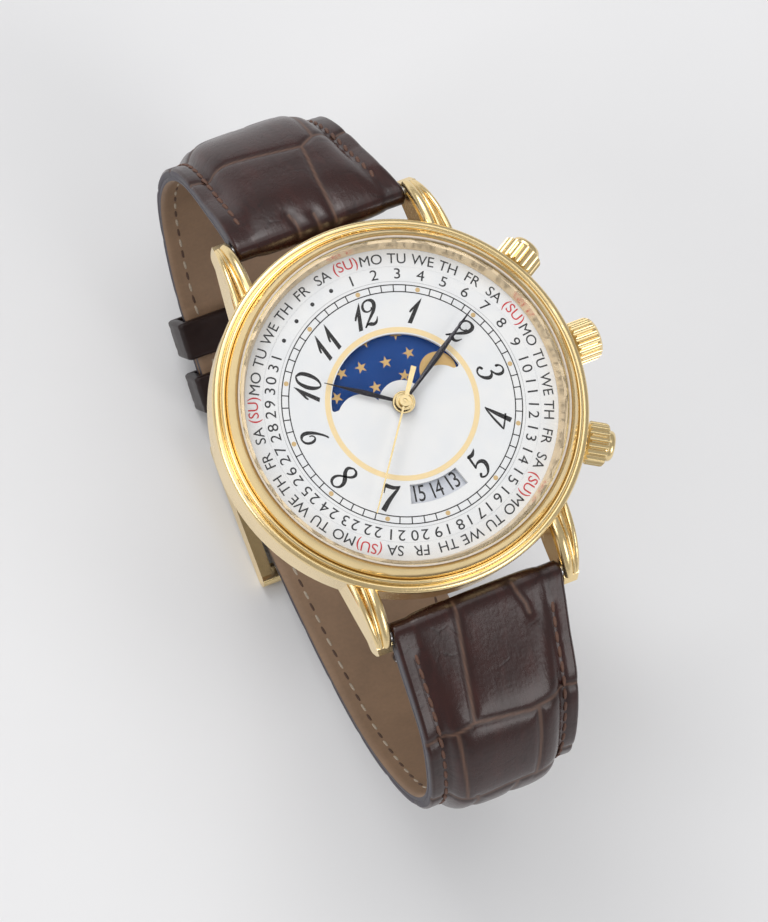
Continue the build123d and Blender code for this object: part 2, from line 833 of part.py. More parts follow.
# Circuit board
with BuildPart() as circuit_board:
    with BuildSketch(Plane.XY.offset(board_bottom)):
        Circle(board_outer)
        Circle(board_inner, mode=Mode.SUBTRACT)
        with BuildLine():
            Polyline(
                (0, 0),
                *[polar(2 * board_outer, board_start_deg + n * board_sweep_deg / 3) for n in range(4)],
                close=True,
            )
        make_face(mode=Mode.INTERSECT)
        with Locations(*board_places):
            Circle(post_pin_radius + fit_gap, mode=Mode.SUBTRACT)
    extrude(amount=board_thickness)
finish(circuit_board, "circuit_board")

# Battery and the clamp across it
with BuildPart() as battery:
    with Locations((battery_x, battery_y, battery_bottom)):
        Cylinder(battery_radius, battery_height, align=(Align.CENTER, Align.CENTER, Align.MIN))
    chamfer(battery.edges().group_by(Axis.Z)[0], battery_rim)
finish(battery, "battery")

with BuildPart() as battery_clamp:
    extrude(arm_face(clamp_places[0], clamp_places[1], clamp_width / 2, clamp_bottom), amount=clamp_thickness)
    extrude(
        disc_faces(post_pin_radius + fit_gap, clamp_places, clamp_bottom),
        amount=clamp_thickness,
        mode=Mode.SUBTRACT,
    )
finish(battery_clamp, "battery_clamp")

# Coil on its core, with the stator plate above the core's ends
stator_bottom = stator_top - stator_thickness
with BuildPart() as coil_core:
    with Locations((coil_x, coil_y, coil_height)):
        Cylinder(coil_core_radius, coil_winding_length + stator_leg, rotation=(0, 90, 0))
    for side in (-1, 1):
        with BuildSketch(Plane.XY.offset(coil_height - coil_core_radius)):
            with Locations((coil_x + side * (coil_length - stator_leg) / 2, coil_y)):
                Rectangle(stator_leg, 2 * coil_core_radius)
        extrude(amount=stator_bottom - coil_height + coil_core_radius)
finish(coil_core, "coil_core")

with BuildPart() as coil_winding:
    with BuildSketch(Plane.YZ.offset(coil_x - coil_winding_length / 2)):
        with Locations((coil_y, coil_height)):
            Circle(coil_radius)
            Circle(coil_core_radius + fit_gap, mode=Mode.SUBTRACT)
    extrude(amount=coil_winding_length)
finish(coil_winding, "coil_winding")

with BuildPart() as stator:
    stator_length = coil_length
    with BuildSketch(Plane.XY.offset(stator_bottom)):
        with Locations((coil_x, rotor_place[1])):
            Rectangle(stator_length, stator_width)
        for place in stator_places:
            with Locations((place[0], (coil_y - stator_leg / 2 + rotor_place[1]) / 2)):
                Rectangle(stator_leg, rotor_place[1] - coil_y + stator_leg / 2)
        with Locations(rotor_place):
            Circle(stator_hole, mode=Mode.SUBTRACT)
    extrude(amount=stator_thickness)
finish(stator, "stator")

with BuildPart() as quartz_can:
    with Locations((quartz_x, quartz_y, quartz_height)):
        Cylinder(quartz_radius, quartz_length, rotation=(90, 0, 0))
finish(quartz_can, "quartz_can")

# Crown tubes in the flank, with a seal in each
with BuildPart() as crown_tubes:
    for place in (-1, 0, 1):
        with BuildSketch(crown_plane(place, tube_inner_end)):
            Circle(tube_radius)
            Circle(stem_radius + stem_bore_gap, mode=Mode.SUBTRACT)
        extrude(amount=tube_outer_end - tube_inner_end)
        with BuildSketch(crown_plane(place, tube_outer_end - stem_seal_length)):
            Circle(stem_seal_radius + fit_gap)
        extrude(amount=stem_seal_length, mode=Mode.SUBTRACT)
finish(crown_tubes, "crown_tubes")

with BuildPart() as stem_seals:
    for place in (-1, 0, 1):
        with BuildSketch(crown_plane(place, tube_outer_end - stem_seal_length)):
            Circle(stem_seal_radius)
            Circle(stem_radius + stem_bore_gap, mode=Mode.SUBTRACT)
        extrude(amount=stem_seal_length - fit_gap)
finish(stem_seals, "stem_seals")

# Spring bars between the lugs
with BuildPart() as spring_bars:
    for side in (-1, 1):
        with Locations((0, side * lug_bar_y, lug_bar_height)):
            Cylinder(bar_radius, lug_gap - 2 * bar_shoulder, rotation=(0, 90, 0))
            Cylinder((bar_radius + bar_tip_radius) / 2, lug_gap - 2 * fit_gap, rotation=(0, 90, 0))
            Cylinder(bar_tip_radius, lug_gap + 2 * bar_tip_length, rotation=(0, 90, 0))
finish(spring_bars, "spring_bars")


# Gear wheel drawn at a place and a height
def gear_face(place, height, teeth, pitch_radius, tooth_share, turn_deg):
    with BuildSketch(Plane(origin=(*place, height), x_dir=(1, 0, 0), z_dir=(0, 0, 1))) as gear:
        with BuildLine():
            Polyline(*gear_outline(teeth, pitch_radius, tooth_share, turn_deg), close=True)
        make_face()
    return gear.sketch


# Turn that puts a gear's gap towards a neighbour whose tooth lies at this bearing
def gap_turn(bearing_deg, teeth):
    return bearing_deg + 180 * (1 + 1 / teeth)


# Pitch radii of a pair of gears at a distance
def pitch_pair(distance, first_teeth, second_teeth):
    share = first_teeth / (first_teeth + second_teeth)
    return (distance * share, distance * (1 - share))


# Arbor between the bridge and the main plate, with its two pivots
def arbor_part(place):
    with BuildPart() as arbor:
        shoulder = bridge_top + ring_clearance
        extrude(disc_faces(shaft_radius, [place], shoulder), amount=plate_bottom - ring_clearance - shoulder)
        extrude(
            disc_faces(pivot_radius, [place], bridge_bottom + ring_clearance),
            amount=plate_bottom + plate_thickness / 3 - bridge_bottom - ring_clearance,
        )
    return arbor.part


seconds_pair = pitch_pair(transfer_distance, seconds_wheel_teeth, transfer_pinion_teeth)
rotor_pair = pitch_pair(rotor_distance, transfer_wheel_teeth, rotor_pinion_teeth)
third_pair = pitch_pair(third_distance, seconds_pinion_teeth, third_wheel_teeth)
centre_pair = pitch_pair(third_distance, third_pinion_teeth, centre_wheel_teeth)
minute_pair = pitch_pair(minute_distance, cannon_teeth, minute_wheel_teeth)
hour_pair = pitch_pair(minute_distance, minute_pinion_teeth, hour_wheel_teeth)

# Rotor of the step motor: magnet and pinion
with BuildPart() as rotor:
    add(arbor_part(rotor_place))
    extrude(disc_faces(rotor_magnet, [rotor_place], rotor_magnet_bottom), amount=rotor_magnet_height)
    turn = gap_turn(rotor_bearing_deg, rotor_pinion_teeth)
    extrude(
        gear_face(rotor_place, level_b, rotor_pinion_teeth, rotor_pair[1], pinion_tooth_share, turn),
        amount=level_height,
    )
finish(rotor, "rotor")

with BuildPart() as transfer_wheel:
    add(arbor_part(transfer_place))
    extrude(
        gear_face(
            transfer_place, level_b, transfer_wheel_teeth, rotor_pair[0], wheel_tooth_share, rotor_bearing_deg
        ),
        amount=level_height,
    )
    turn = gap_turn(transfer_bearing_deg, transfer_pinion_teeth)
    extrude(
        gear_face(transfer_place, level_a, transfer_pinion_teeth, seconds_pair[1], pinion_tooth_share, turn),
        amount=level_height,
    )
finish(transfer_wheel, "transfer_wheel")

with BuildPart() as third_wheel:
    add(arbor_part(third_place))
    turn = gap_turn(third_bearing_deg, third_wheel_teeth)
    extrude(
        gear_face(third_place, level_c, third_wheel_teeth, third_pair[1], wheel_tooth_share, turn),
        amount=level_height,
    )
    turn = third_bearing_deg + 180
    extrude(
        gear_face(third_place, level_d, third_pinion_teeth, centre_pair[0], pinion_tooth_share, turn),
        amount=level_height,
    )
finish(third_wheel, "third_wheel")

# Seconds wheel on the long centre arbor
with BuildPart() as seconds_wheel:
    shoulder = bridge_top + ring_clearance
    arbor_shoulder_top = level_d - ring_clearance
    extrude(disc_faces(shaft_radius, [(0, 0)], shoulder), amount=arbor_shoulder_top - shoulder)
    extrude(
        disc_faces(seconds_arbor, [(0, 0)], bridge_bottom + ring_clearance),
        amount=seconds_hand_height + hand_thickness - run_gap - bridge_bottom - ring_clearance,
    )
    turn = transfer_bearing_deg
    extrude(
        gear_face((0, 0), level_a, seconds_wheel_teeth, seconds_pair[0], wheel_tooth_share, turn),
        amount=level_height,
    )
    turn = third_bearing_deg
    extrude(
        gear_face((0, 0), level_c, seconds_pinion_teeth, third_pair[0], pinion_tooth_share, turn),
        amount=level_height,
    )
finish(seconds_wheel, "seconds_wheel")

# Centre wheel, and the cannon pinion that carries the minute hand
cannon_foot = plate_bottom - ring_clearance
with BuildPart() as centre_wheel:
    turn = gap_turn(third_bearing_deg + 180, centre_wheel_teeth)
    extrude(
        gear_face((0, 0), level_d, centre_wheel_teeth, centre_pair[1], wheel_tooth_share, turn),
        amount=level_height,
    )
    extrude(disc_faces(cannon_radius, [(0, 0)], level_d), amount=cannon_foot - level_d)
    extrude(disc_faces(cannon_bore, [(0, 0)], level_d), amount=plate_thickness, mode=Mode.SUBTRACT)
finish(centre_wheel, "centre_wheel")

minute_boss_top = minute_hand_height + hand_thickness + boss_lip
with BuildPart() as cannon_pinion:
    extrude(disc_faces(cannon_radius, [(0, 0)], cannon_foot), amount=minute_boss_top - cannon_foot)
    extrude(
        gear_face((0, 0), level_minute, cannon_teeth, minute_pair[0], pinion_tooth_share, minute_bearing_deg),
        amount=level_height,
    )
    extrude(
        disc_faces(cannon_bore, [(0, 0)], cannon_foot),
        amount=minute_boss_top - cannon_foot,
        mode=Mode.SUBTRACT,
    )
finish(cannon_pinion, "cannon_pinion")

# Motion works: minute wheel on its post, and hour wheel on its pipe
with BuildPart() as minute_wheel:
    turn = gap_turn(minute_bearing_deg, minute_wheel_teeth)
    extrude(
        gear_face(minute_place, level_minute, minute_wheel_teeth, minute_pair[1], wheel_tooth_share, turn),
        amount=level_height,
    )
    hub_radius = hour_pair[0] - hour_pair[0] / minute_pinion_teeth
    hub_height = level_hour - level_minute
    extrude(disc_faces(hub_radius * pinion_hub_share, [minute_place], level_minute), amount=hub_height)
    turn = minute_bearing_deg + 180
    extrude(
        gear_face(minute_place, level_hour, minute_pinion_teeth, hour_pair[0], pinion_tooth_share, turn),
        amount=level_height,
    )
    extrude(
        disc_faces(shaft_radius + run_gap, [minute_place], level_minute),
        amount=level_hour + level_height - level_minute,
        mode=Mode.SUBTRACT,
    )
finish(minute_wheel, "minute_wheel")

hour_boss_top = hour_hand_height + hand_thickness + boss_lip
with BuildPart() as hour_wheel:
    turn = gap_turn(minute_bearing_deg + 180, hour_wheel_teeth)
    extrude(
        gear_face((0, 0), level_hour, hour_wheel_teeth, hour_pair[1], wheel_tooth_share, turn),
        amount=level_height,
    )
    extrude(disc_faces(hour_pipe_radius, [(0, 0)], level_hour), amount=hour_boss_top - level_hour)
    extrude(
        disc_faces(hour_pipe_bore, [(0, 0)], level_hour),
        amount=hour_boss_top - level_hour,
        mode=Mode.SUBTRACT,
    )
finish(hour_wheel, "hour_wheel")


# Plane of a hand: its first axis points along the hand
def hand_plane(height, clock_deg):
    return Plane(origin=(0, 0, height), x_dir=(*clock(1, clock_deg), 0), z_dir=(0, 0, 1))


# Leaf-shaped hand with a hub ring, and its gold boss
def hand_face(height, clock_deg, length, width, belly_share, hub, bore):
    with BuildSketch(hand_plane(height, clock_deg)) as hand:
        with BuildLine():
            Polyline(
                (0, -hand_root_width / 2),
                (length * belly_share, -width / 2),
                (length, -hand_tip_width / 2),
                (length, hand_tip_width / 2),
                (length * belly_share, width / 2),
                (0, hand_root_width / 2),
                close=True,
            )
        make_face()
        Circle(hub)
        Circle(bore, mode=Mode.SUBTRACT)
    return hand.sketch


with BuildPart() as hour_hand:
    extrude(
        hand_face(
            hour_hand_height,
            hour_hand_deg,
            hour_hand_length,
            hour_hand_width,
            hour_belly_share,
            hour_boss_radius,
            hour_pipe_radius + fit_gap,
        ),
        amount=hand_thickness,
    )
finish(hour_hand, "hour_hand")

with BuildPart() as hour_boss:
    extrude(
        ring_face(hour_boss_radius, hour_pipe_radius + fit_gap, hour_hand_height + hand_thickness),
        amount=boss_lip,
    )
finish(hour_boss, "hour_boss")

with BuildPart() as minute_hand:
    extrude(
        hand_face(
            minute_hand_height,
            minute_hand_deg,
            minute_hand_length,
            minute_hand_width,
            minute_belly_share,
            minute_boss_radius,
            cannon_radius + fit_gap,
        ),
        amount=hand_thickness,
    )
finish(minute_hand, "minute_hand")

with BuildPart() as minute_boss:
    extrude(
        ring_face(minute_boss_radius, cannon_radius + fit_gap, minute_hand_height + hand_thickness),
        amount=boss_lip,
    )
finish(minute_boss, "minute_boss")

with BuildPart() as seconds_hand:
    with BuildSketch(hand_plane(seconds_hand_height, seconds_hand_deg)):
        with BuildLine():
            Polyline(
                (-seconds_tail_length, -seconds_tail_width / 2),
                (0, -seconds_hand_width),
                (seconds_hand_length, -seconds_hand_width / 2),
                (seconds_hand_length, seconds_hand_width / 2),
                (0, seconds_hand_width),
                (-seconds_tail_length, seconds_tail_width / 2),
                close=True,
            )
        make_face()
        Circle(seconds_boss_radius)
    extrude(amount=hand_thickness)
    extrude(
        disc_faces(seconds_boss_radius, [(0, 0)], seconds_hand_height + hand_thickness),
        amount=seconds_cap_height,
    )
    extrude(
        disc_faces(seconds_arbor + fit_gap, [(0, 0)], seconds_hand_height),
        amount=hand_thickness,
        mode=Mode.SUBTRACT,
    )
finish(seconds_hand, "seconds_hand")


# Radial teeth under a calendar ring or disc, with a gap over the pinion's top tooth
def face_teeth(inner, outer, teeth, bearing_deg, pitch_height):
    middle = (inner + outer) / 2
    pitch = 2 * math.pi * middle / teeth
    with BuildSketch(Plane.XY.offset(pitch_height - face_tooth_reach)) as crown:
        with PolarLocations(middle, teeth, start_angle=bearing_deg + 180 / teeth):
            Rectangle(outer - inner, pitch * face_tooth_share)
    return crown.sketch


# Moon disc
disc_bottom = disc_top - disc_thickness
with BuildPart() as moon_disc:
    extrude(ring_face(moon_radius, moon_bore, disc_bottom), amount=disc_thickness)
    extrude(
        face_teeth(moon_teeth_inner, moon_teeth_outer, moon_teeth, -crown_step_deg, moon_pitch_height),
        amount=disc_bottom - moon_pitch_height + face_tooth_reach,
    )
finish(moon_disc, "moon_disc")

# Date ring with its inner teeth
with BuildPart() as date_ring:
    with BuildSketch(Plane.XY.offset(disc_bottom)):
        Circle(date_outer)
        Circle(date_inner, mode=Mode.SUBTRACT)
        with PolarLocations(date_inner, date_teeth):
            Rectangle(2 * date_tooth_depth, math.pi * date_inner / date_teeth, mode=Mode.SUBTRACT)
    extrude(amount=disc_thickness)
finish(date_ring, "date_ring")

# Weekday ring round the dial
day_root = day_pitch_height + face_root_gap
with BuildPart() as day_ring:
    extrude(ring_face(ring_outer, dial_radius + ring_clearance, dial_top - ring_plate), amount=ring_plate)
    extrude(ring_face(day_teeth_outer, day_teeth_inner, day_root), amount=dial_top - ring_plate - day_root)
    extrude(
        face_teeth(day_teeth_inner, day_teeth_outer, day_teeth, crown_step_deg, day_pitch_height),
        amount=face_root_gap + face_tooth_reach,
    )
finish(day_ring, "day_ring")


# Stem of a setting crown, with the pinion that turns a calendar ring
def pinion_stem(place, inner, teeth, pitch_radius, face_inner, face_outer):
    with BuildPart() as stem:
        with BuildSketch(crown_plane(place, inner)):
            Circle(stem_radius)
        extrude(amount=crown_start + stem_socket - inner)
        with BuildSketch(crown_plane(place, face_inner)):
            with BuildLine():
                Polyline(*gear_outline(teeth, pitch_radius, pinion_tooth_share), close=True)
            make_face()
        extrude(amount=face_outer - face_inner)
    return stem


day_stem = pinion_stem(
    1, day_teeth_inner, day_pinion_teeth, day_pinion_pitch, day_teeth_inner, day_teeth_outer
)
finish(day_stem, "day_stem")
moon_stem = pinion_stem(
    -1, moon_stem_inner, moon_pinion_teeth, moon_pinion_pitch, moon_teeth_inner, moon_teeth_outer
)
finish(moon_stem, "moon_stem")

# Stem of the main crown, with the groove for the setting lever
with BuildPart() as setting_stem:
    with BuildSketch(crown_plane(0, main_stem_inner)):
        Circle(stem_radius)
    extrude(amount=crown_start + stem_socket - main_stem_inner)
    with BuildSketch(crown_plane(0, lever_x - groove_width / 2)):
        Circle(2 * stem_radius)
        Circle(groove_radius, mode=Mode.SUBTRACT)
    extrude(amount=groove_width, mode=Mode.SUBTRACT)
finish(setting_stem, "setting_stem")

# Setting lever: a fork astride the groove, with a foot along the plate
with BuildPart() as setting_lever:
    with BuildSketch(Plane.YZ.offset(lever_x - lever_thickness / 2)):
        with Locations((0, (lever_bottom + crown_axis) / 2)):
            Rectangle(lever_width, crown_axis - lever_bottom)
        with Locations((0, crown_axis)):
            Rectangle(2 * (groove_radius + run_gap), 2 * (groove_radius + run_gap), mode=Mode.SUBTRACT)
    extrude(amount=lever_thickness)
    with BuildSketch(Plane.XY.offset(lever_bottom)):
        with Locations((lever_x - lever_length / 2, 0)):
            Rectangle(lever_length, lever_width)
    extrude(amount=lever_thickness)
finish(setting_lever, "setting_lever")


# Fluted crown: hollow skirt over the tube, socket for the stem, rounded outer end
def fluted_crown(place, length, round_radius):
    with BuildPart() as crown:
        with BuildSketch(crown_plane(place, crown_start)):
            Circle(crown_radius)
        extrude(amount=length)
        ends = crown.edges().filter_by(GeomType.CIRCLE).sort_by_distance(crown_plane(place, 0).origin)
        chamfer(ends[0], crown_chamfer)
        fillet(ends[-1], round_radius)
        with BuildSketch(crown_plane(place, crown_start)):
            with PolarLocations(crown_radius + flute_radius - crown_flute_depth, crown_flutes):
                Circle(flute_radius)
        extrude(amount=length, mode=Mode.SUBTRACT)
        with BuildSketch(crown_plane(place, crown_start)):
            Circle(crown_skirt_bore)
        extrude(amount=crown_skirt_depth, mode=Mode.SUBTRACT)
        with BuildSketch(crown_plane(place, crown_start)):
            Circle(stem_radius + fit_gap)
        extrude(amount=stem_socket, mode=Mode.SUBTRACT)
    return crown


# Polished cap on a side crown's outer end
def crown_cap(place):
    with BuildPart() as cap:
        with BuildSketch(crown_plane(place, crown_start + crown_body_length)):
            Circle(cap_radius)
        extrude(amount=cap_height)
        ends = cap.edges().filter_by(GeomType.CIRCLE).sort_by_distance(crown_plane(place, 0).origin)
        fillet(ends[-1], cap_round)
    return cap


finish(fluted_crown(1, crown_body_length, crown_chamfer), "day_crown")
finish(crown_cap(1), "day_crown_cap")
finish(fluted_crown(-1, crown_body_length, crown_chamfer), "moon_crown")
finish(crown_cap(-1), "moon_crown_cap")
finish(fluted_crown(0, main_crown_length, main_crown_round), "setting_crown")


# Value of a table of shares at a place from 0 to 1 along the strap
def along_table(table, place):
    reach = place * (len(table) - 1)
    low = min(int(reach), len(table) - 2)
    return table[low] + (table[low + 1] - table[low]) * (reach - low)


# Outer margin of a strap half: side is 1 at 12 o'clock and -1 at 6 o'clock
def margin_line(out_shares, back_shares, reach, side):
    outward_run = reach - lug_bar_y
    places = [(lug_bar_y + run * outward_run, drop) for run, drop in out_shares]
    places += [(run * reach, drop) for run, drop in back_shares]
    points = [(side * y, dial_top - drop * loop_depth) for y, drop in places]
    with BuildLine(Plane.YZ):
        line = Spline(*points)
    return line


# Cross-sections of a strap half: place along it, point of its outer margin, direction
def curved_stations(line):
    places = [n / (strap_stations - 1) for n in range(strap_stations)]
    return [(place, line @ place, (line % place).normalized()) for place in places]


# Outward direction of the margin's surface
def outward(direction, side):
    return Vector(0, -direction.Z * side, direction.Y * side)


# Straight run through the keepers, and the gentle bend that ends at the buckle's bar
def straight_stations(start, distances):
    slope = math.radians(keeper_slope_deg)
    direction = Vector(0, -math.cos(slope), -math.sin(slope))
    stations = [(1, start + direction * distance, direction) for distance in distances]
    point = start + direction * upper_straight_length
    for length, degrees in zip(bend_lengths, bend_slopes_deg):
        slope = math.radians(degrees)
        direction = Vector(0, -math.cos(slope), -math.sin(slope))
        point = point + direction * length
        stations.append((1, point, direction))
    return stations


# Leather with its padded crown, or the flat lining under it, as one ruled loft
def strap_loft(stations, side, pads, edges, lining):
    with BuildPart() as strap:
        for place, point, direction in stations:
            half = strap_end_half_width + (strap_buckle_half_width - strap_end_half_width) * place
            leather = leather_lug_thickness + (leather_buckle_thickness - leather_lug_thickness) * place
            under = leather + lining_lug_thickness + (lining_buckle_thickness - lining_lug_thickness) * place
            pad = crown_pad * along_table(pads, place) + least_pad
            rise = pad * along_table(edges, place)
            shoulder = half - margin_width
            profile = [
                (shoulder, rise),
                (shoulder - shoulder_run, rise + pad_edge_share * (pad - rise)),
                (shoulder - shoulder_soft_run, rise + pad_soft_share * (pad - rise)),
            ]
            if lining:
                corners = [(-half, -under), (half, -under), (half, -leather), (-half, -leather)]
            else:
                right = [(half, -leather), (half, rise), *profile]
                corners = [*right, (0, pad), *[(-x, y) for x, y in reversed(right)]]
            with BuildSketch(Plane(origin=point, x_dir=(side, 0, 0), z_dir=direction)):
                with BuildLine():
                    Polyline(*corners, close=True)
                make_face()
        loft(ruled=True)
    return strap.part


# Round eye at a strap's end, about a bar
def cross_cylinder(radius, length, y, height):
    with BuildPart() as eye:
        with Locations((0, y, height)):
            Cylinder(radius, length, rotation=(0, 90, 0))
    return eye.part


upper_line = margin_line(upper_out_shares, upper_back_shares, loop_reach_far, 1)
upper_curve = curved_stations(upper_line)
upper_end = upper_curve[-1][1]
straight_places = [free_keeper_start, tail_start, tail_start + bend_lengths[0], upper_straight_length]
buckle_run = straight_stations(upper_end, straight_places)
upper_stations = upper_curve + buckle_run
lower_line = margin_line(lower_out_shares, lower_back_shares, loop_reach_near, -1)
lower_curve = curved_stations(lower_line)
buckle_thickness = leather_buckle_thickness + lining_buckle_thickness
tail_run = []
for place, point, direction in reversed(buckle_run[1:]):
    tail_point = point + outward(direction, 1) * (layer_gap + buckle_thickness)
    tail_run.append((place, tail_point, direction * -1))
lower_stations = lower_curve + tail_run

barrel_length = 2 * strap_buckle_half_width
with BuildPart() as strap_upper_leather:
    add(strap_loft(upper_stations, -1, upper_pad_shares, upper_edge_shares, False))
    add(cross_cylinder(strap_end_radius, 2 * strap_end_half_width, lug_bar_y, lug_bar_height))
    add(cross_cylinder(barrel_radius, barrel_length, buckle_bar_y, buckle_bar_height))
    add(
        cross_cylinder(strap_bore_radius, 2 * lug_gap, lug_bar_y, lug_bar_height),
        mode=Mode.SUBTRACT,
    )
    add(
        cross_cylinder(buckle_bar_radius + fit_gap, 2 * lug_gap, buckle_bar_y, buckle_bar_height),
        mode=Mode.SUBTRACT,
    )
    with Locations((0, buckle_bar_y, buckle_bar_height)):
        Box(
            tongue_width + 2 * tongue_slot_gap,
            2 * barrel_radius + tongue_slot_gap,
            4 * barrel_radius,
            mode=Mode.SUBTRACT,
        )
finish(strap_upper_leather, "strap_upper_leather")

with BuildPart() as strap_upper_lining:
    add(strap_loft(upper_stations, -1, upper_pad_shares, upper_edge_shares, True))
    add(
        cross_cylinder(strap_end_radius, 2 * lug_gap, lug_bar_y, lug_bar_height),
        mode=Mode.SUBTRACT,
    )
    add(
        cross_cylinder(barrel_radius, 2 * lug_gap, buckle_bar_y, buckle_bar_height),
        mode=Mode.SUBTRACT,
    )
    with Locations((0, buckle_bar_y, buckle_bar_height)):
        Box(
            tongue_width + 2 * tongue_slot_gap,
            2 * barrel_radius + tongue_slot_gap,
            4 * barrel_radius,
            mode=Mode.SUBTRACT,
        )
finish(strap_upper_lining, "strap_upper_lining")


# Holes along the tail, and the longer one that the tongue passes through
def tail_holes():
    with BuildPart() as holes:
        for n in range(hole_count):
            distance = lower_line.length - first_hole_distance - n * hole_spacing
            place = lower_line.position_at(distance, PositionMode.LENGTH)
            direction = lower_line.tangent_at(distance, PositionMode.LENGTH)
            with BuildSketch(Plane(origin=place, x_dir=(1, 0, 0), z_dir=outward(direction, -1))):
                Circle(hole_radius)
            extrude(amount=strap_end_radius * 2, both=True)
        slot_middle = (tongue_slot_near + tongue_slot_far) / 2
        with Locations((0, slot_middle, dial_top - loop_depth)):
            Box(
                tongue_width + 2 * tongue_slot_gap,
                tongue_slot_near - tongue_slot_far,
                4 * barrel_radius,
            )
    return holes.part


with BuildPart() as strap_lower_leather:
    add(strap_loft(lower_stations, 1, lower_pad_shares, lower_edge_shares, False))
    add(cross_cylinder(strap_end_radius, 2 * strap_end_half_width, -lug_bar_y, lug_bar_height))
    add(
        cross_cylinder(strap_bore_radius, 2 * lug_gap, -lug_bar_y, lug_bar_height),
        mode=Mode.SUBTRACT,
    )
    add(tail_holes(), mode=Mode.SUBTRACT)
finish(strap_lower_leather, "strap_lower_leather")

with BuildPart() as strap_lower_lining:
    add(strap_loft(lower_stations, 1, lower_pad_shares, lower_edge_shares, True))
    add(
        cross_cylinder(strap_end_radius, 2 * lug_gap, -lug_bar_y, lug_bar_height),
        mode=Mode.SUBTRACT,
    )
    add(tail_holes(), mode=Mode.SUBTRACT)
finish(strap_lower_lining, "strap_lower_lining")


# Leather keeper round both layers, square to the straight run
def keeper(start, length, outer_thickness, inner_gap):
    direction = buckle_run[0][2]
    out = outward(direction, 1)
    inner = buckle_thickness + inner_gap
    outer = layer_gap + buckle_thickness + keeper_clearance
    half = strap_buckle_half_width + keeper_clearance
    with BuildPart() as band:
        origin = upper_end + direction * start
        with BuildSketch(Plane(origin=origin, x_dir=(1, 0, 0), z_dir=direction)) as ends:
            side = 1 if ends.workplanes[0].y_dir.dot(out) > 0 else -1
            with Locations((0, side * (outer + outer_thickness - inner - keeper_thickness) / 2)):
                RectangleRounded(
                    2 * (half + keeper_thickness),
                    outer + inner + outer_thickness + keeper_thickness,
                    keeper_round,
                )
            with Locations((0, side * (outer - inner) / 2)):
                Rectangle(2 * half, outer + inner, mode=Mode.SUBTRACT)
        extrude(amount=length)
    return band


finish(keeper(fixed_keeper_start, fixed_keeper_length, fixed_keeper_thickness, 0), "fixed_keeper")
finish(keeper(free_keeper_start, free_keeper_length, keeper_thickness, keeper_clearance), "free_keeper")

# Buckle: bar through the strap's end, frame with a round crossbar, and tongue
rail_inner = strap_buckle_half_width + rail_side_gap
with BuildPart() as buckle_bar:
    add(
        cross_cylinder(buckle_bar_radius, 2 * (rail_inner + bar_inset), buckle_bar_y, buckle_bar_height)
    )
finish(buckle_bar, "buckle_bar")

with BuildPart() as buckle_frame:
    for side in (-1, 1):
        with BuildSketch(Plane.YZ.offset(side * rail_inner)):
            with Locations((buckle_bar_y, buckle_bar_height)):
                Circle(rail_end_radius)
            with Locations((crossbar_y, crossbar_height)):
                Circle(crossbar_radius)
            make_hull()
        extrude(amount=side * rail_width)
    add(cross_cylinder(crossbar_radius, 2 * rail_inner, crossbar_y, crossbar_height))
    add(
        cross_cylinder(
            buckle_bar_radius + run_gap,
            2 * (rail_inner + bar_inset + run_gap),
            buckle_bar_y,
            buckle_bar_height,
        ),
        mode=Mode.SUBTRACT,
    )
    notch_top = tongue_bend_far[1] + tongue_thickness / 2 + notch_gap
    with Locations((0, crossbar_y, notch_top)):
        Box(
            tongue_width + 2 * notch_gap,
            4 * crossbar_radius,
            2 * crossbar_radius,
            align=(Align.CENTER, Align.CENTER, Align.MAX),
            mode=Mode.SUBTRACT,
        )
finish(buckle_frame, "buckle_frame")

with BuildPart() as buckle_tongue:
    with BuildSketch(Plane.YZ.offset(-tongue_width / 2)):
        with BuildLine():
            path = Polyline(
                (buckle_bar_y, buckle_bar_height),
                tongue_bend_near,
                tongue_bend_far,
                (tongue_tip_y, tongue_bend_far[1]),
            )
        trace(path, line_width=tongue_thickness)
        with Locations((buckle_bar_y, buckle_bar_height)):
            Circle(tongue_eye_radius)
            Circle(buckle_bar_radius + run_gap, mode=Mode.SUBTRACT)
    extrude(amount=tongue_width)
finish(buckle_tongue, "buckle_tongue")
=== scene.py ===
import json
import math
from functools import partial

import bmesh
import bpy
import numpy as np
from mathutils import Matrix, Vector


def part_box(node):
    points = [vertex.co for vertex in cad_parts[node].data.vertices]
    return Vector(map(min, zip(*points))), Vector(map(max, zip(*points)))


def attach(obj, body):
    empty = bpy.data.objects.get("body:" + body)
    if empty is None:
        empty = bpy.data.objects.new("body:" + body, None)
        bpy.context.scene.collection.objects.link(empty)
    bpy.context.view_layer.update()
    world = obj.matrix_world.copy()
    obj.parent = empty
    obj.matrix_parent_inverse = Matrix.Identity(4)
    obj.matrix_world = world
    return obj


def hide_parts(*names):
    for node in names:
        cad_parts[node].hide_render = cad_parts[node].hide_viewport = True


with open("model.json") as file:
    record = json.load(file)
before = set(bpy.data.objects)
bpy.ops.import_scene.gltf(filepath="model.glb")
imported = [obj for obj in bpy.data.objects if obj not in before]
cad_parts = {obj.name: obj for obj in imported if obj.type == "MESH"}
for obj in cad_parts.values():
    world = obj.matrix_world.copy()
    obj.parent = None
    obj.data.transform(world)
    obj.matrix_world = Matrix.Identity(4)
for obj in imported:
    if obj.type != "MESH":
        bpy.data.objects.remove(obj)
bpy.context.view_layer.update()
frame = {"nodes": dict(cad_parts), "record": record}
mm = 0.001

# Heights read from the frame
dial_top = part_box("dial")[1].z
day_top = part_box("day_ring")[1].z
moon_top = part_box("moon_disc")[1].z
date_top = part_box("date_ring")[1].z
floor_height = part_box("buckle_frame")[0].z
floor_reach = 3.0

# Camera at the photograph's viewing angle
camera_place = (-0.095126, -0.051925, 0.369960)
camera_turn_deg = (12.0444, -10.2949, -22.6051)
camera_lens = 156.182
camera_sensor = 36.0

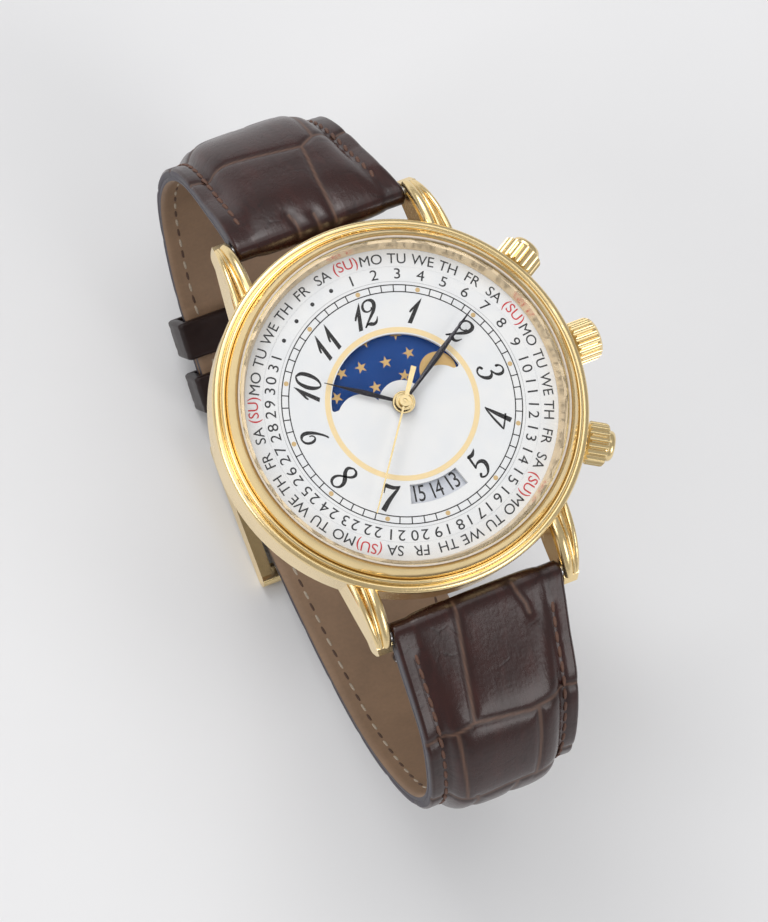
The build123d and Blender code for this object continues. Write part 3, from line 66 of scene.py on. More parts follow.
# Printing on the dial: letters are (height, squeeze, spacing), circles (inner, outer radius)
ink_gap = 0.004 * mm
ink_height = 0.012 * mm
capital_share = 0.73
day_letters = (1.04 * mm, 1.03, 1.0)
date_letters = (1.07 * mm, 1.12, 1.25)
window_letters = (1.66 * mm, 0.74, 0.8)
day_names = ["(SU)", "MO", "TU", "WE", "TH", "FR", "SA"]
day_places = 35
day_radius = 14.22 * mm
date_count = 31
date_radius = 12.74 * mm
circle_turn_deg = -0.35
window_number_radius = 8.68 * mm
shown_date = 14
shown_date_deg = 180.2
track_circles = (10.95 * mm, 11.63 * mm)
track_line = 0.1 * mm
hour_dot_radius = 0.23 * mm
blank_dot_radius = 0.2 * mm
gold_circle = (6.97 * mm, 7.48 * mm)
pale_circle = (11.9425 * mm, 11.9775 * mm)
dial_edge = (13.405 * mm, 13.445 * mm)
dial_edge_drop = 0.04 * mm
dot_sides = 28

# Moon disc, its stars as (x, y, lean in degrees)
moon_orbit = 5.04 * mm
moon_bearing_deg = 22.8
moon_size = 1.8 * mm
moon_sides = 72
star_size = 0.62 * mm
star_waist_share = 0.4
star_places = [
    (-2.27, 4.73, 4), (0.18, 4.38, -8), (2.62, 4.46, 2), (1.39, 2.56, -26), (-1.68, 2.46, -8),
    (-5.57, 2.8, 12), (-4.25, 4.83, 6), (-1.03, 6.93, -27), (2.12, 6.62, 18),
]

# Hour numerals, drawn on a grid of whole units with y downward: strokes of (x, y, width)
numeral_height = 2.64 * mm
numeral_units = 290
numeral_middle = (220, 205)
numeral_radius = 9.25 * mm
numeral_steps = 7
numeral_boldness = 1.1
round_ended_figures = "2358"
round_end_width = 12
round_end_sides = 16
figure_one = [
    (273, 60), (269, 96), (240, 216), (206, 352), (160, 352), (205, 192), (174, 238), (160, 229),
    (172, 200),
]
figure_strokes = {
    "2": [
        [
            (305, 150, 12), (290, 176, 13), (252, 186, 14), (218, 165, 24), (214, 122, 26),
            (243, 80, 18), (290, 68, 20), (332, 86, 34), (342, 126, 38), (316, 184, 34),
            (262, 240, 25), (208, 292, 17), (170, 334, 15),
        ],
        [
            (168, 334, 14), (198, 312, 20), (232, 318, 36), (264, 328, 30), (294, 316, 24),
            (314, 290, 13), (327, 264, 6),
        ],
    ],
    "3": [
        [
            (187, 128, 27), (192, 100, 17), (216, 77, 14), (250, 72, 17), (280, 94, 28),
            (284, 132, 30), (262, 172, 20), (214, 203, 12),
        ],
        [
            (214, 203, 12), (250, 205, 18), (277, 228, 34), (280, 262, 36), (258, 306, 28),
            (224, 338, 18), (186, 346, 16), (153, 328, 20), (146, 301, 22), (164, 285, 24),
        ],
    ],
    "4": [
        [(331, 54, 6), (307, 118, 26), (284, 190, 38), (262, 270, 44), (240, 350, 48)],
        [(328, 56, 8), (290, 94, 18), (230, 160, 20), (172, 234, 22), (132, 280, 12)],
        [(128, 282, 14), (180, 283, 17), (240, 284, 15), (302, 281, 18)],
    ],
    "5": [
        [(316, 58, 6), (288, 76, 22), (250, 88, 36), (222, 80, 34), (203, 76, 24)],
        [(212, 70, 20), (195, 118, 22), (170, 202, 20)],
        [
            (168, 204, 14), (206, 186, 18), (250, 192, 32), (277, 224, 40), (270, 270, 38),
            (238, 314, 26), (196, 336, 16), (156, 330, 18), (134, 304, 22), (153, 283, 24),
        ],
    ],
    "7": [
        [(150, 80, 40), (200, 90, 38), (250, 92, 34), (304, 68, 8)],
        [(152, 66, 14), (150, 118, 12), (147, 165, 9)],
        [(306, 62, 8), (286, 102, 24), (246, 172, 34), (206, 248, 44), (166, 350, 52)],
    ],
    "8": [
        [
            (243, 70, 14), (194, 104, 30), (198, 158, 36), (236, 212, 42), (256, 266, 36),
            (240, 322, 22), (190, 347, 16), (142, 320, 26), (138, 268, 26), (172, 224, 20),
            (226, 194, 18), (280, 158, 24), (300, 118, 28), (284, 82, 22), (243, 70, 14),
        ],
    ],
    "9": [
        [
            (237, 162, 12), (233, 194, 13), (206, 214, 14), (178, 196, 24), (168, 150, 26),
            (186, 100, 22), (230, 75, 18), (271, 95, 32), (280, 140, 36), (262, 206, 30),
            (222, 276, 22), (182, 328, 18), (155, 350, 15),
        ],
    ],
    "0": [
        [
            (314, 68, 14), (256, 104, 26), (222, 196, 38), (224, 284, 34), (258, 342, 14),
            (316, 300, 26), (350, 206, 38), (352, 118, 34), (314, 68, 14),
        ],
    ],
}
# Hour: its figures with their shift to the right. There is no six, where the date window is.
hour_figures = {
    1: [("1", 0)], 2: [("2", -42)], 3: [("3", 0)], 4: [("4", 0)], 5: [("5", 0)], 7: [("7", 0)],
    8: [("8", 0)], 9: [("9", 0)], 10: [("1", -74), ("0", 0)], 11: [("1", -72), ("1", 84)],
    12: [("1", -78), ("2", 0)],
}
inward_hours = (4, 5, 7, 8)

# Hands, their forms as (share of the length, half width in millimetres) from the hub to the tip
hour_hand_deg = 304.3
hour_hand_length = 7.8 * mm
hour_hand_form = [
    (0.0, 0.15), (0.22, 0.19), (0.43, 0.25), (0.64, 0.17), (0.8, 0.085), (1.0, 0.03),
]
minute_hand_deg = 57.5
minute_hand_length = 11.25 * mm
minute_hand_form = [
    (0.0, 0.15), (0.22, 0.2), (0.4, 0.28), (0.5, 0.3), (0.65, 0.22), (0.8, 0.14), (1.0, 0.05),
]
hand_root_share = 0.6
hand_ring_share = 0.62
hand_edge_height = 0.08 * mm
hand_steps = 8
hub_sides = 72
hub_lip = 0.14 * mm
hub_round = 0.025 * mm
hub_rise = 0.04 * mm
seconds_hand_deg = 216.4
seconds_hand_length = 11.25 * mm
seconds_tail_length = 3.5 * mm
seconds_half_widths = (0.2 * mm, 0.26 * mm, 0.1 * mm, 0.065 * mm)  # tail's root, end; pointer's
seconds_thickness = 0.15 * mm
seconds_hub_radius = 0.56 * mm
seconds_eye_radius = 0.2 * mm
seconds_eye_depth = 0.13 * mm
seconds_pin_radius = 0.1 * mm
overlap_share = 0.9

# Strap, from the same sizes as its solids
lug_bar_y = 19.9 * mm
lug_bar_height = 2.9 * mm
eye_bore = 0.85 * mm
eye_start_deg = 265
eye_extra_rows = 6
eye_ease_rows = 4
eye_ease_reach = 1.6
half_widths = (8.85 * mm, 8.1 * mm)        # at the lugs and at the buckle, as the next two
leather_thicknesses = (0.95 * mm, 0.75 * mm)
lining_thicknesses = (0.65 * mm, 0.55 * mm)
crown_pad = 1.45 * mm
least_pad = 0.05 * mm
margin_width = 2.0 * mm
shoulder_softness = 0.8 * mm
edge_round = 0.22 * mm
loop_reach_far = 33.6 * mm
loop_reach_near = 35.8 * mm
loop_depth = 45.5 * mm
curve_points = 400
grid_step = 0.2 * mm
slope_reach = 7
lining_columns = 40
lining_start = 1.15 * mm
bore_run = 1.3 * mm
bore_power = 1.5

# A strap half's line as shares of its reach and depth, out from the lug and back to the buckle,
# its padding from lug to end, and how much narrower its right side is, as (distance, amount)
upper_form = {
    "out": [
        (0.0, 0.0642), (0.1907, 0.0989), (0.4236, 0.1604), (0.664, 0.2308), (0.8467, 0.3055),
        (0.9632, 0.4066), (1.0, 0.51),
    ],
    "back": [(0.985, 0.602), (0.94, 0.681), (0.869, 0.752), (0.783, 0.82), (0.6964, 0.868)],
    "pads": [0.62, 0.82, 0.97, 1.0, 1.0, 0.96, 0.88, 0.78, 0.62, 0.42, 0.2, 0.0],
    "edges": [0.75, 0.5, 0.1] + [0.0] * 9,
    "inset": [(0, 0), (4, 0.45), (10, 0.48), (15, 0.62), (90, 0.62)],
}
lower_form = {
    "out": [
        (0.0, 0.0642), (0.1692, 0.0901), (0.3966, 0.1209), (0.6352, 0.158), (0.8356, 0.233),
        (0.9685, 0.321),
    ],
    "back": [
        (0.994, 0.4286), (0.955, 0.5385), (0.866, 0.655), (0.726, 0.767), (0.559, 0.844),
        (0.377, 0.901), (0.204, 0.943), (0.028, 0.979), (-0.112, 1.004),
    ],
    "pads": [0.62, 0.82, 0.97, 1.0, 1.0, 0.96, 0.86, 0.72, 0.56, 0.42, 0.3, 0.2, 0.1, 0.0],
    "edges": [0.75, 0.5, 0.1] + [0.0] * 11,
    "inset": [
        (0, 0), (3, 0.35), (6, 0.77), (13, 1.43), (20, 1.9), (35, 1.6), (50, 1.4), (100, 1.4),
    ],
}

# Where the strap closes
keeper_slope_deg = 20
buckle_straight = 11.8 * mm
bend_runs = [(2.2 * mm, 17), (2.05 * mm, 8)]
tail_start = 2.4 * mm
layer_gap = 0.1 * mm
buckle_bar_y = 8.0 * mm
buckle_bar_height = -37.0 * mm
slot_half_width = 1.15 * mm
slot_half_length = 1.275 * mm
slot_half_height = 3 * mm
tail_slot = (0.2 * mm, 7.2 * mm)
tail_slot_depth = 5 * mm
hole_radius = 0.9 * mm
hole_spacing = 6.5 * mm
hole_count = 4
hole_depth = 8 * mm
hole_sides = 32
first_hole_distance = 12.0 * mm

# Crocodile grain: lines as (x, distance along the strap) in millimetres
groove_width = 0.32 * mm
groove_depth = 0.17 * mm
ridge_share = 0.45
ridge_rise = 0.6
scale_dome = 0.09 * mm
scale_dome_reach = 0.9 * mm
grain_steps = 7
grain_sides = (-9.2, 9.2)
grain_lean = (-0.6, 0.6)
row_sway = 0.45
scale_spots = ((-2.4, 2.6), (-4.6, 0.4, 4.8))
spot_shift = (-0.7, 0.7)
scale_sway = 0.3
first_rows = 11.0
row_lengths = [9.2, 8.6, 8.0, 7.4, 7.0, 6.6, 6.4, 6.2, 6.0, 6.0, 6.0]
upper_seed = 11
lower_seed = 23
upper_first_lines = [
    [(-8.9, 12.3), (-7.0, 11.7), (-3.0, 11.0), (2.6, 9.9), (4.3, 11.2), (6.2, 11.7), (8.9, 12.2)],
    [(2.6, 9.9), (2.4, 8.0), (1.8, 4.0), (1.55, 0.0), (1.5, -1.4)],
    [(4.3, 11.3), (4.5, 14.5), (4.7, 18.6), (4.4, 20.4)],
    [(-2.6, 1.2), (-2.3, -0.3), (-2.3, -1.6)],
    [(-0.3, 0.4), (-0.2, -1.6)],
]
lower_first_lines = [
    [(-8.9, 11.8), (-6.0, 11.2), (-3.9, 10.6), (1.9, 11.4), (6.0, 11.0), (8.9, 11.6)],
    [(-3.9, 10.5), (-3.4, 7.0), (-2.9, 3.6), (-2.4, 0.0), (-2.3, -1.6)],
    [(3.7, -1.0), (3.9, 0.2), (4.4, 1.6), (4.5, 2.6)],
    [(-5.7, 11.3), (-5.6, 14.5), (-5.3, 20.3)],
    [(2.7, 11.4), (2.5, 15.0), (1.9, 20.4)],
]

# Stitches
stitch_inset = 1.5 * mm
stitch_pitch = 1.5 * mm
stitch_length = 1.34 * mm
stitch_thick = 0.17 * mm
stitch_sink = 0.12 * mm
stitch_channel = 0.3 * mm
stitch_slant_deg = 7
stitch_shape = (7, 10)       # rings along a stitch, and sides round it
lining_stitch_rise = 0.04 * mm
upper_stitches = (2.9 * mm, 4 * mm)        # first stitch from the lug, last from the other end
lower_stitches = (3.0 * mm, 3 * mm)

# Keepers, as (distance along the straight run, length, outer thickness, gap under the strap)
keeper_thickness = 0.9 * mm
keeper_clearance = 0.25 * mm
fixed_keeper_sizes = (7.3 * mm, 4.0 * mm, 1.05 * mm, 0.0)
free_keeper_sizes = (1.35 * mm, 4.0 * mm, 0.9 * mm, 0.25 * mm)
keeper_corner = 0.6 * mm
keeper_inner_corner = 0.12 * mm
keeper_edge_round = 0.28 * mm
keeper_crease = (0.05 * mm, 0.75 * mm, 0.12 * mm)        # depth, distance from the edge, width
corner_steps = 8


def shade(colour, share):
    return tuple(c * share for c in colour)


class Finish:
    """A procedural material, and short ways to add nodes to it. Colours are three numbers."""

    def __init__(self, name, colour, roughness, metallic=0.0):
        self.material = bpy.data.materials.new(name)
        self.material.use_nodes = True
        self.tree = self.material.node_tree
        self.set(Base_Color=colour, Roughness=roughness, Metallic=metallic)
        self.place = self.node("ShaderNodeTexCoord", {}).outputs["Object"]

    def fill(self, node, sockets):
        """Gives each socket another node's output or a plain value."""
        for key, value in sockets.items():
            socket = node.inputs[key]
            if isinstance(value, bpy.types.NodeSocket):
                self.tree.links.new(value, socket)
            else:
                socket.default_value = (*value, 1.0) if socket.type == "RGBA" else value

    def set(self, **sockets):
        """Fills the shader's sockets, with an underscore for each space in a name."""
        named = {key.replace("_", " "): value for key, value in sockets.items()}
        self.fill(self.tree.nodes["Principled BSDF"], named)
        return self.material

    def node(self, kind, sockets, **settings):
        made = self.tree.nodes.new(kind)
        for key, value in settings.items():
            setattr(made, key, value)
        self.fill(made, sockets)
        return made

    def attribute(self, name, output):
        return self.node("ShaderNodeAttribute", {}, attribute_name=name).outputs[output]

    def noise(self, scale, detail=3.0, rough=0.55, vector=None, stretch=(1, 1, 1)):
        sockets = {"Vector": vector or self.place, "Scale": stretch}
        place = self.node("ShaderNodeMapping", sockets).outputs["Vector"]
        sockets = {"Vector": place, "Scale": scale, "Detail": detail, "Roughness": rough}
        return self.node("ShaderNodeTexNoise", sockets).outputs["Fac"]

    def swirl(self, vector, scale, reach):
        """The vector pushed about by noise, so that cells lose their straight sides."""
        cloud = self.node("ShaderNodeTexNoise", {"Vector": vector, "Scale": scale})
        sockets = {0: cloud.outputs["Color"], 1: (reach, reach, 0), 2: vector}
        return self.node("ShaderNodeVectorMath", sockets, operation="MULTIPLY_ADD").outputs[0]

    def cells(self, scale, vector=None, feature="F1"):
        sockets = {"Vector": vector or self.place, "Scale": scale}
        return self.node("ShaderNodeTexVoronoi", sockets, feature=feature).outputs["Distance"]

    def spread(self, value, low, high, start=0.0, end=1.0):
        """Goes from low to high as the value goes from start to end."""
        sockets = {
            "Value": value, "From Min": start, "From Max": end, "To Min": low, "To Max": high,
        }
        return self.node("ShaderNodeMapRange", sockets).outputs["Result"]

    def times(self, first, second):
        return self.node("ShaderNodeMath", {0: first, 1: second}, operation="MULTIPLY").outputs[0]

    def plus(self, first, second):
        return self.node("ShaderNodeMath", {0: first, 1: second}, operation="ADD").outputs[0]

    def blend(self, factor, first, second):
        sockets = {"Factor": factor, "A": first, "B": second}
        return self.node("ShaderNodeMix", sockets, data_type="RGBA").outputs["Result"]

    def clouded(self, cloud, first, second, start=0.3, end=0.7):
        """One colour that goes over to another where the cloud is dense."""
        return self.blend(self.spread(cloud, 0, 1, start, end), first, second)

    def relief(self, height, distance, strength):
        sockets = {"Height": height, "Distance": distance, "Strength": strength}
        return self.node("ShaderNodeBump", sockets).outputs["Normal"]


def gold(name, colour, low, high):
    mat = Finish(name, colour, low, 1.0)
    cloud = mat.noise(260, 4)
    hairline = mat.noise(2600, 3, 0.7)
    return mat.set(
        Base_Color=mat.clouded(cloud, colour, shade(colour, 0.94), 0.35, 0.65),
        Roughness=mat.spread(mat.plus(cloud, hairline), low, high, 0.6, 1.4),
        Normal=mat.relief(hairline, 0.0012 * mm, 0.5),
    )


def satin_silver(name, warm, cool, roughness):
    mat = Finish(name, warm, roughness)
    cloud = mat.noise(420, 4, 0.6)
    return mat.set(
        Base_Color=mat.clouded(cloud, warm, cool, 0.38, 0.62),
        Roughness=mat.spread(cloud, roughness, roughness + 0.12, 0.3, 0.7),
        Normal=mat.relief(mat.noise(9000, 2), 0.002 * mm, 0.35),
    )


def ink(name, colour):
    mat = Finish(name, colour, 0.4)
    speckle = mat.noise(12000, 2)
    return mat.set(
        Base_Color=mat.blend(speckle, colour, tuple(c * 1.25 + 0.01 for c in colour)),
        Roughness=mat.spread(speckle, 0.32, 0.5),
    )


def brushed(name, colour, low, high, grain, metallic=1.0):
    mat = Finish(name, colour, low, metallic)
    lines = mat.noise(grain, 3, 0.6, stretch=(1, 0.05, 1))
    cloud = mat.noise(300, 3)
    return mat.set(
        Base_Color=mat.blend(cloud, colour, shade(colour, 0.85)),
        Roughness=mat.spread(mat.plus(lines, cloud), low, high, 0.6, 1.4),
        Normal=mat.relief(lines, 0.002 * mm, 0.5),
    )


def dull(name, colour, low, high, grain, depth=0.01 * mm):
    mat = Finish(name, colour, low)
    speckle = mat.noise(grain, 4)
    return mat.set(
        Base_Color=mat.blend(speckle, shade(colour, 0.75), shade(colour, 1.2)),
        Roughness=mat.spread(speckle, low, high, 0.3, 0.7),
        Normal=mat.relief(speckle, depth, 0.5),
    )


def night_sky(name):
    deep = (0.004, 0.045, 0.21)
    mat = Finish(name, deep, 0.42)
    grain = mat.noise(8000, 2)
    return mat.set(
        Base_Color=mat.clouded(mat.noise(300, 3), deep, (0.008, 0.065, 0.27)),
        Roughness=mat.spread(grain, 0.4, 0.55),
        Normal=mat.relief(grain, 0.002 * mm, 0.4),
        Specular_IOR_Level=0.25,
    )


def glass(name):
    """Clear from above, and whiter where it is seen edge on."""
    mat = Finish(name, (0.02, 0.02, 0.02), 0.02)
    facing = mat.node("ShaderNodeLayerWeight", {"Blend": 0.35}).outputs["Facing"]
    edge = mat.times(facing, mat.times(facing, facing))
    return mat.set(
        Roughness=mat.spread(mat.noise(150, 2), 0.01, 0.05),
        Alpha=mat.spread(edge, 0.025, 0.5),
        IOR=1.76,
    )


def crocodile(name, colour, worn):
    """Embossed leather: painted shade darkens the grooves, worn along the ridges in them, finely
    creased.
    """
    mat = Finish(name, colour, 0.3)
    lie = mat.attribute("lie", "Vector")
    marks = mat.node("ShaderNodeSeparateColor", {"Color": mat.attribute("marks", "Color")})
    groove_and_painted_shade, ridge = marks.outputs["Red"], marks.outputs["Green"]
    cloud = mat.noise(190, 4, 0.6, lie)
    streak = mat.noise(700, 4, 0.6, lie, (1, 0.3, 1))
    crease = mat.noise(2100, 4, 0.6, lie, (1, 0.12, 1))
    wrinkle = mat.noise(1500, 5, 0.62, lie, (1, 0.6, 1))
    fold = mat.cells(420, mat.swirl(lie, 900, 0.9 * mm), "DISTANCE_TO_EDGE")
    fold = mat.spread(fold, 1, 0, 0.0, 0.09)
    fold = mat.times(fold, mat.spread(mat.noise(230, 3, 0.6, lie), 0, 1, 0.5, 0.62))
    base = mat.clouded(cloud, colour, shade(colour, 0.6), 0.32, 0.68)
    base = mat.blend(mat.spread(streak, 0, 0.5, 0.5, 0.75), base, shade(colour, 1.8))
    base = mat.blend(mat.times(fold, 0.5), base, shade(colour, 0.25))
    # Painted shade: the grooves' colour is darkened to stand for the shade that falls in them.
    base = mat.blend(mat.spread(groove_and_painted_shade, 0, 0.85, 0.05, 0.9), base, shade(colour, 0.4))
    height = mat.plus(mat.times(wrinkle, 0.6), mat.times(mat.cells(2300, lie), 0.2))
    height = mat.plus(height, mat.times(fold, -0.3))
    height = mat.plus(height, mat.times(crease, 0.7))
    rough = mat.spread(cloud, 0.22, 0.34, 0.3, 0.7)
    return mat.set(
        Base_Color=mat.blend(mat.times(ridge, 0.8), base, worn),
        Roughness=mat.plus(rough, mat.times(groove_and_painted_shade, 0.25)),
        Normal=mat.relief(height, 0.06 * mm, 0.55),
        Specular_IOR_Level=0.42, Coat_Weight=0.08, Coat_Roughness=0.2,
    )


def plain_leather(name, colour, low, high):
    mat = Finish(name, colour, low)
    cloud = mat.noise(260, 4, 0.6)
    wrinkle = mat.times(mat.noise(1700, 5, 0.6), 0.7)
    pore = mat.times(mat.cells(2600), 0.3)
    return mat.set(
        Base_Color=mat.clouded(cloud, colour, shade(colour, 1.7)),
        Roughness=mat.spread(cloud, low, high, 0.3, 0.7),
        Normal=mat.relief(mat.plus(wrinkle, pore), 0.035 * mm, 0.5),
        Specular_IOR_Level=0.3,
    )


def lining_leather(name, colour):
    mat = Finish(name, colour, 0.62)
    lie = mat.attribute("lie", "Vector")
    nap = mat.noise(2400, 5, 0.65, lie)
    cloud = mat.plus(mat.noise(150, 4, 0.6, lie), mat.times(nap, 0.5))
    return mat.set(
        Base_Color=mat.clouded(cloud, shade(colour, 0.82), shade(colour, 1.12), 0.5, 1.0),
        Roughness=mat.spread(nap, 0.5, 0.75),
        Normal=mat.relief(nap, 0.03 * mm, 0.5),
    )


def edge_paint(name, colour, light):
    mat = Finish(name, colour, 0.45)
    cloud = mat.noise(500, 4)
    return mat.set(
        Base_Color=mat.clouded(cloud, colour, light),
        Roughness=mat.spread(cloud, 0.38, 0.6),
        Normal=mat.relief(mat.noise(3000, 3), 0.02 * mm, 0.5),
    )


def thread(name, colour):
    mat = Finish(name, colour, 0.65)
    fibre = mat.noise(9000, 4, 0.6, stretch=(1, 0.4, 1))
    return mat.set(
        Base_Color=mat.clouded(fibre, shade(colour, 0.55), colour),
        Roughness=mat.spread(fibre, 0.5, 0.8),
        Normal=mat.relief(fibre, 0.02 * mm, 0.6),
    )


gold_hand = gold("gold_hand", (0.95, 0.76, 0.42), 0.18, 0.28)
star_gold = gold("star_gold", (0.74, 0.50, 0.22), 0.35, 0.48)
dial_silver = satin_silver("dial_silver_satin", (0.88, 0.885, 0.885), (0.84, 0.855, 0.87), 0.36)
hand_dark = brushed("hand_dark", (0.035, 0.033, 0.042), 0.28, 0.4, 3000, 0.35)
ink_black = ink("ink_black", (0.012, 0.011, 0.012))
ink_grey = ink("ink_grey", (0.02, 0.02, 0.022))
ink_pale = ink("ink_pale", (0.42, 0.42, 0.42))
ink_red = ink("ink_red", (0.55, 0.03, 0.035))
gold_dot = ink("gold_dot", (0.60, 0.42, 0.20))
gold_line = ink("gold_line", (0.84, 0.655, 0.36))
leather_brown = crocodile("crocodile_brown", (0.033, 0.0088, 0.0072), (0.15, 0.075, 0.048))
leather_dark = plain_leather("keeper_leather", (0.010, 0.004, 0.0035), 0.3, 0.45)
lining_tan = lining_leather("lining_tan", (0.25, 0.155, 0.092))
# Dark edge paint; its violet-blue tint, stronger in the lighter tone, is a painted reflection of a
# blue rim light.
edge_paint_and_blue_sheen = edge_paint("edge_paint_and_blue_sheen", (0.02, 0.014, 0.02), (0.042, 0.032, 0.05))
thread_brown = thread("thread_brown", (0.15, 0.07, 0.045))
thread_light = thread("thread_light", (0.52, 0.43, 0.33))
thread_dark = thread("thread_dark", (0.10, 0.05, 0.03))

slot_finish = {
    "gold_polished": gold("gold_bright", (0.94, 0.735, 0.39), 0.17, 0.25),
    "gold_satin": gold("gold_case", (0.93, 0.725, 0.385), 0.2, 0.3),
    "crystal": glass("clear_glass"),
    "dial_silver": dial_silver,
    "hand_charcoal": hand_dark,
    "moon_blue": night_sky("sky_blue"),
    "date_silver": satin_silver("date_ring_satin", (0.72, 0.74, 0.79), (0.62, 0.65, 0.72), 0.4),
    "steel": brushed("brushed_steel", (0.56, 0.56, 0.57), 0.24, 0.38, 2600),
    "movement_brass": brushed("plain_brass", (0.74, 0.56, 0.29), 0.26, 0.4, 2400),
    "copper": brushed("copper_wire", (0.70, 0.30, 0.14), 0.3, 0.45, 6000),
    "circuit_green": dull("board_green", (0.01, 0.12, 0.05), 0.35, 0.5, 2500),
    "movement_plastic": dull("grey_plastic", (0.32, 0.32, 0.33), 0.45, 0.6, 1800),
    "magnet": dull("magnet_grey", (0.09, 0.09, 0.1), 0.3, 0.45, 2200),
    "rubber_black": dull("black_rubber", (0.015, 0.015, 0.016), 0.6, 0.75, 3000, 0.02 * mm),
    "leather_brown": leather_brown,
    "leather_keeper": leather_dark,
    "lining_beige": lining_tan,
}
finish_of_node = {
    "rehaut_ring": gold("gold_pale", (0.86, 0.69, 0.46), 0.24, 0.34),
    "crystal_gasket": dull("pale_nylon", (0.66, 0.58, 0.49), 0.35, 0.5, 3000),
}


def dress_cad():
    slots = {row["node"]: row["material_slot"] for row in frame["record"]["subparts"]}
    for name, piece in frame["nodes"].items():
        piece.data.materials.clear()
        piece.data.materials.append(finish_of_node.get(name, slot_finish[slots[name]]))


def placed(name, data):
    made = bpy.data.objects.new(name, data)
    bpy.context.scene.collection.objects.link(made)
    return made


def new_piece(name, mesh, material, body, slot=None, node=None):
    piece = placed(name, mesh)
    if material:
        mesh.materials.append(material)
    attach(piece, body)
    if node:
        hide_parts(node)
    return piece


def mesh_of(name, bm, mesh=None):
    """The bmesh's faces, turned outward, as a mesh."""
    bmesh.ops.recalc_face_normals(bm, faces=bm.faces)
    mesh = mesh or bpy.data.meshes.new(name)
    bm.to_mesh(mesh)
    bm.free()
    return mesh


def smooth_mesh(name, verts, faces, materials=(), kinds=None):
    """A smoothly shaded mesh; kinds give each face one of the materials."""
    mesh = bpy.data.meshes.new(name)
    mesh.from_pydata(verts, [], faces)
    for material in materials:
        mesh.materials.append(material)
    if kinds is not None:
        mesh.polygons.foreach_set("material_index", kinds.astype(np.int32))
    mesh.polygons.foreach_set("use_smooth", np.ones(len(faces), bool))
    bm = bmesh.new()
    bm.from_mesh(mesh)
    return mesh_of(name, bm, mesh)


def ring_faces(rings, closed):
    """Quads between rows of points that run round a solid: closed joins the last row to the
    first, otherwise a cap closes each end."""
    index = np.arange(rings.shape[0] * rings.shape[1]).reshape(rings.shape[:2])
    if closed:
        index = np.concatenate([index, index[:1]])
    after = np.roll(index, -1, axis=1)
    quads = np.stack([index[:-1], index[1:], after[1:], after[:-1]], axis=-1).reshape(-1, 4)
    return quads.tolist() + ([] if closed else [index[0].tolist(), index[-1][::-1].tolist()])


def thicken(bm, faces, height):
    """Turns flat faces into closed slabs."""
    made = bmesh.ops.extrude_face_region(bm, geom=faces)
    raised = [item for item in made["geom"] if isinstance(item, bmesh.types.BMVert)]
    bmesh.ops.translate(bm, verts=raised, vec=(0, 0, height))


def turn_to(bm, degrees):
    """Turns all that was drawn toward 12 o'clock to a clock bearing."""
    turn = Matrix.Rotation(math.radians(-degrees), 3, "Z")
    bmesh.ops.rotate(bm, verts=bm.verts, matrix=turn)


def polygon(bm, points, height):
    return bm.faces.new([bm.verts.new((x, y, height)) for x, y in points])


def disc(bm, x, y, radius, height, sides=dot_sides):
    turns = [2 * math.pi * n / sides for n in range(sides)]
    points = [(x + radius * math.cos(t), y + radius * math.sin(t)) for t in turns]
    return polygon(bm, points, height)


def spun(bm, loop, sides, closed=True):
    """Faces about the dial's axis from a row of (radius, height), which closed makes a loop."""
    rows, faces = [], []
    for n in range(sides):
        c, s = math.cos(2 * math.pi * n / sides), math.sin(2 * math.pi * n / sides)
        rows.append([bm.verts.new((r * c, r * s, z)) for r, z in loop])
    for a, b in zip(rows, rows[1:] + rows[:1]):
        for n in range(0 if closed else 1, len(loop)):
            faces.append(bm.faces.new((a[n - 1], a[n], b[n], b[n - 1])))
    return faces


def ring_band(bm, inner, outer, height):
    return spun(bm, [(inner, height), (outer, height)], 360, closed=False)


def clock(radius, degrees):
    angle = math.radians(degrees)
    return radius * math.sin(angle), radius * math.cos(angle)


def upright(degrees, radius, inward=False):
    """Puts a mark drawn about the origin at a clock bearing, its top outward or inward."""
    turn = math.radians(180 - degrees if inward else -degrees)
    return Matrix.Translation((*clock(radius, degrees), 0)) @ Matrix.Rotation(turn, 4, "Z")


def text_mesh(text, height, squeeze, spacing):
    curve = bpy.data.curves.new("lettering", "FONT")
    curve.body = text
    curve.align_x = "CENTER"
    curve.align_y = "CENTER"
    curve.size = height / capital_share
    curve.space_character = spacing
    curve.resolution_u = 4
    curve.extrude = ink_height / 2
    holder = bpy.data.objects.new("lettering", curve)
    mesh = bpy.data.meshes.new_from_object(holder)
    mesh.transform(Matrix.Diagonal((squeeze, 1, 1, 1)))
    heights = [v.co.y for v in mesh.vertices]
    middle = (min(heights) + max(heights)) / 2
    mesh.transform(Matrix.Translation((0, -middle, ink_height / 2)))
    bpy.data.objects.remove(holder)
    bpy.data.curves.remove(curve)
    return mesh


def lettering(name, marks, letters, surface, material, body, slot):
    """All of the marks, which are (text, matrix), as one piece."""
    bm = bmesh.new()
    for text, matrix in marks:
        mesh = text_mesh(text, *letters)
        mesh.transform(Matrix.Translation((0, 0, surface + ink_gap)) @ matrix)
        bm.from_mesh(mesh)
        bpy.data.meshes.remove(mesh)
    bmesh.ops.remove_doubles(bm, verts=bm.verts, dist=1e-4 * mm)
    new_piece(name, mesh_of(name, bm), material, body, slot)


def ring_mark(place, radius):
    return upright(360 * place / day_places + circle_turn_deg, radius)


def weekday_names():
    plain, red = [], []
    for n in range(day_places):
        text = day_names[n % len(day_names)]
        (red if text == day_names[0] else plain).append((text, ring_mark(n, day_radius)))
    rest = (day_letters, day_top)
    lettering("weekday_names", plain, *rest, ink_grey, "weekday", "dial_silver")
    lettering("sunday_names", red, *rest, ink_red, "weekday", "dial_silver")


def date_circle():
    marks = [(str(n + 1), ring_mark(n, date_radius)) for n in range(date_count)]
    lettering("date_circle", marks, date_letters, dial_top, ink_grey, "watch", "dial_silver")


def window_numbers():
    marks = []
    for n in range(1, date_count + 1):
        degrees = shown_date_deg + (n - shown_date) * 360 / date_count
        marks.append((str(n), upright(degrees, window_number_radius, True)))
    lettering("window_numbers", marks, window_letters, date_top, ink_black, "date", "date_silver")


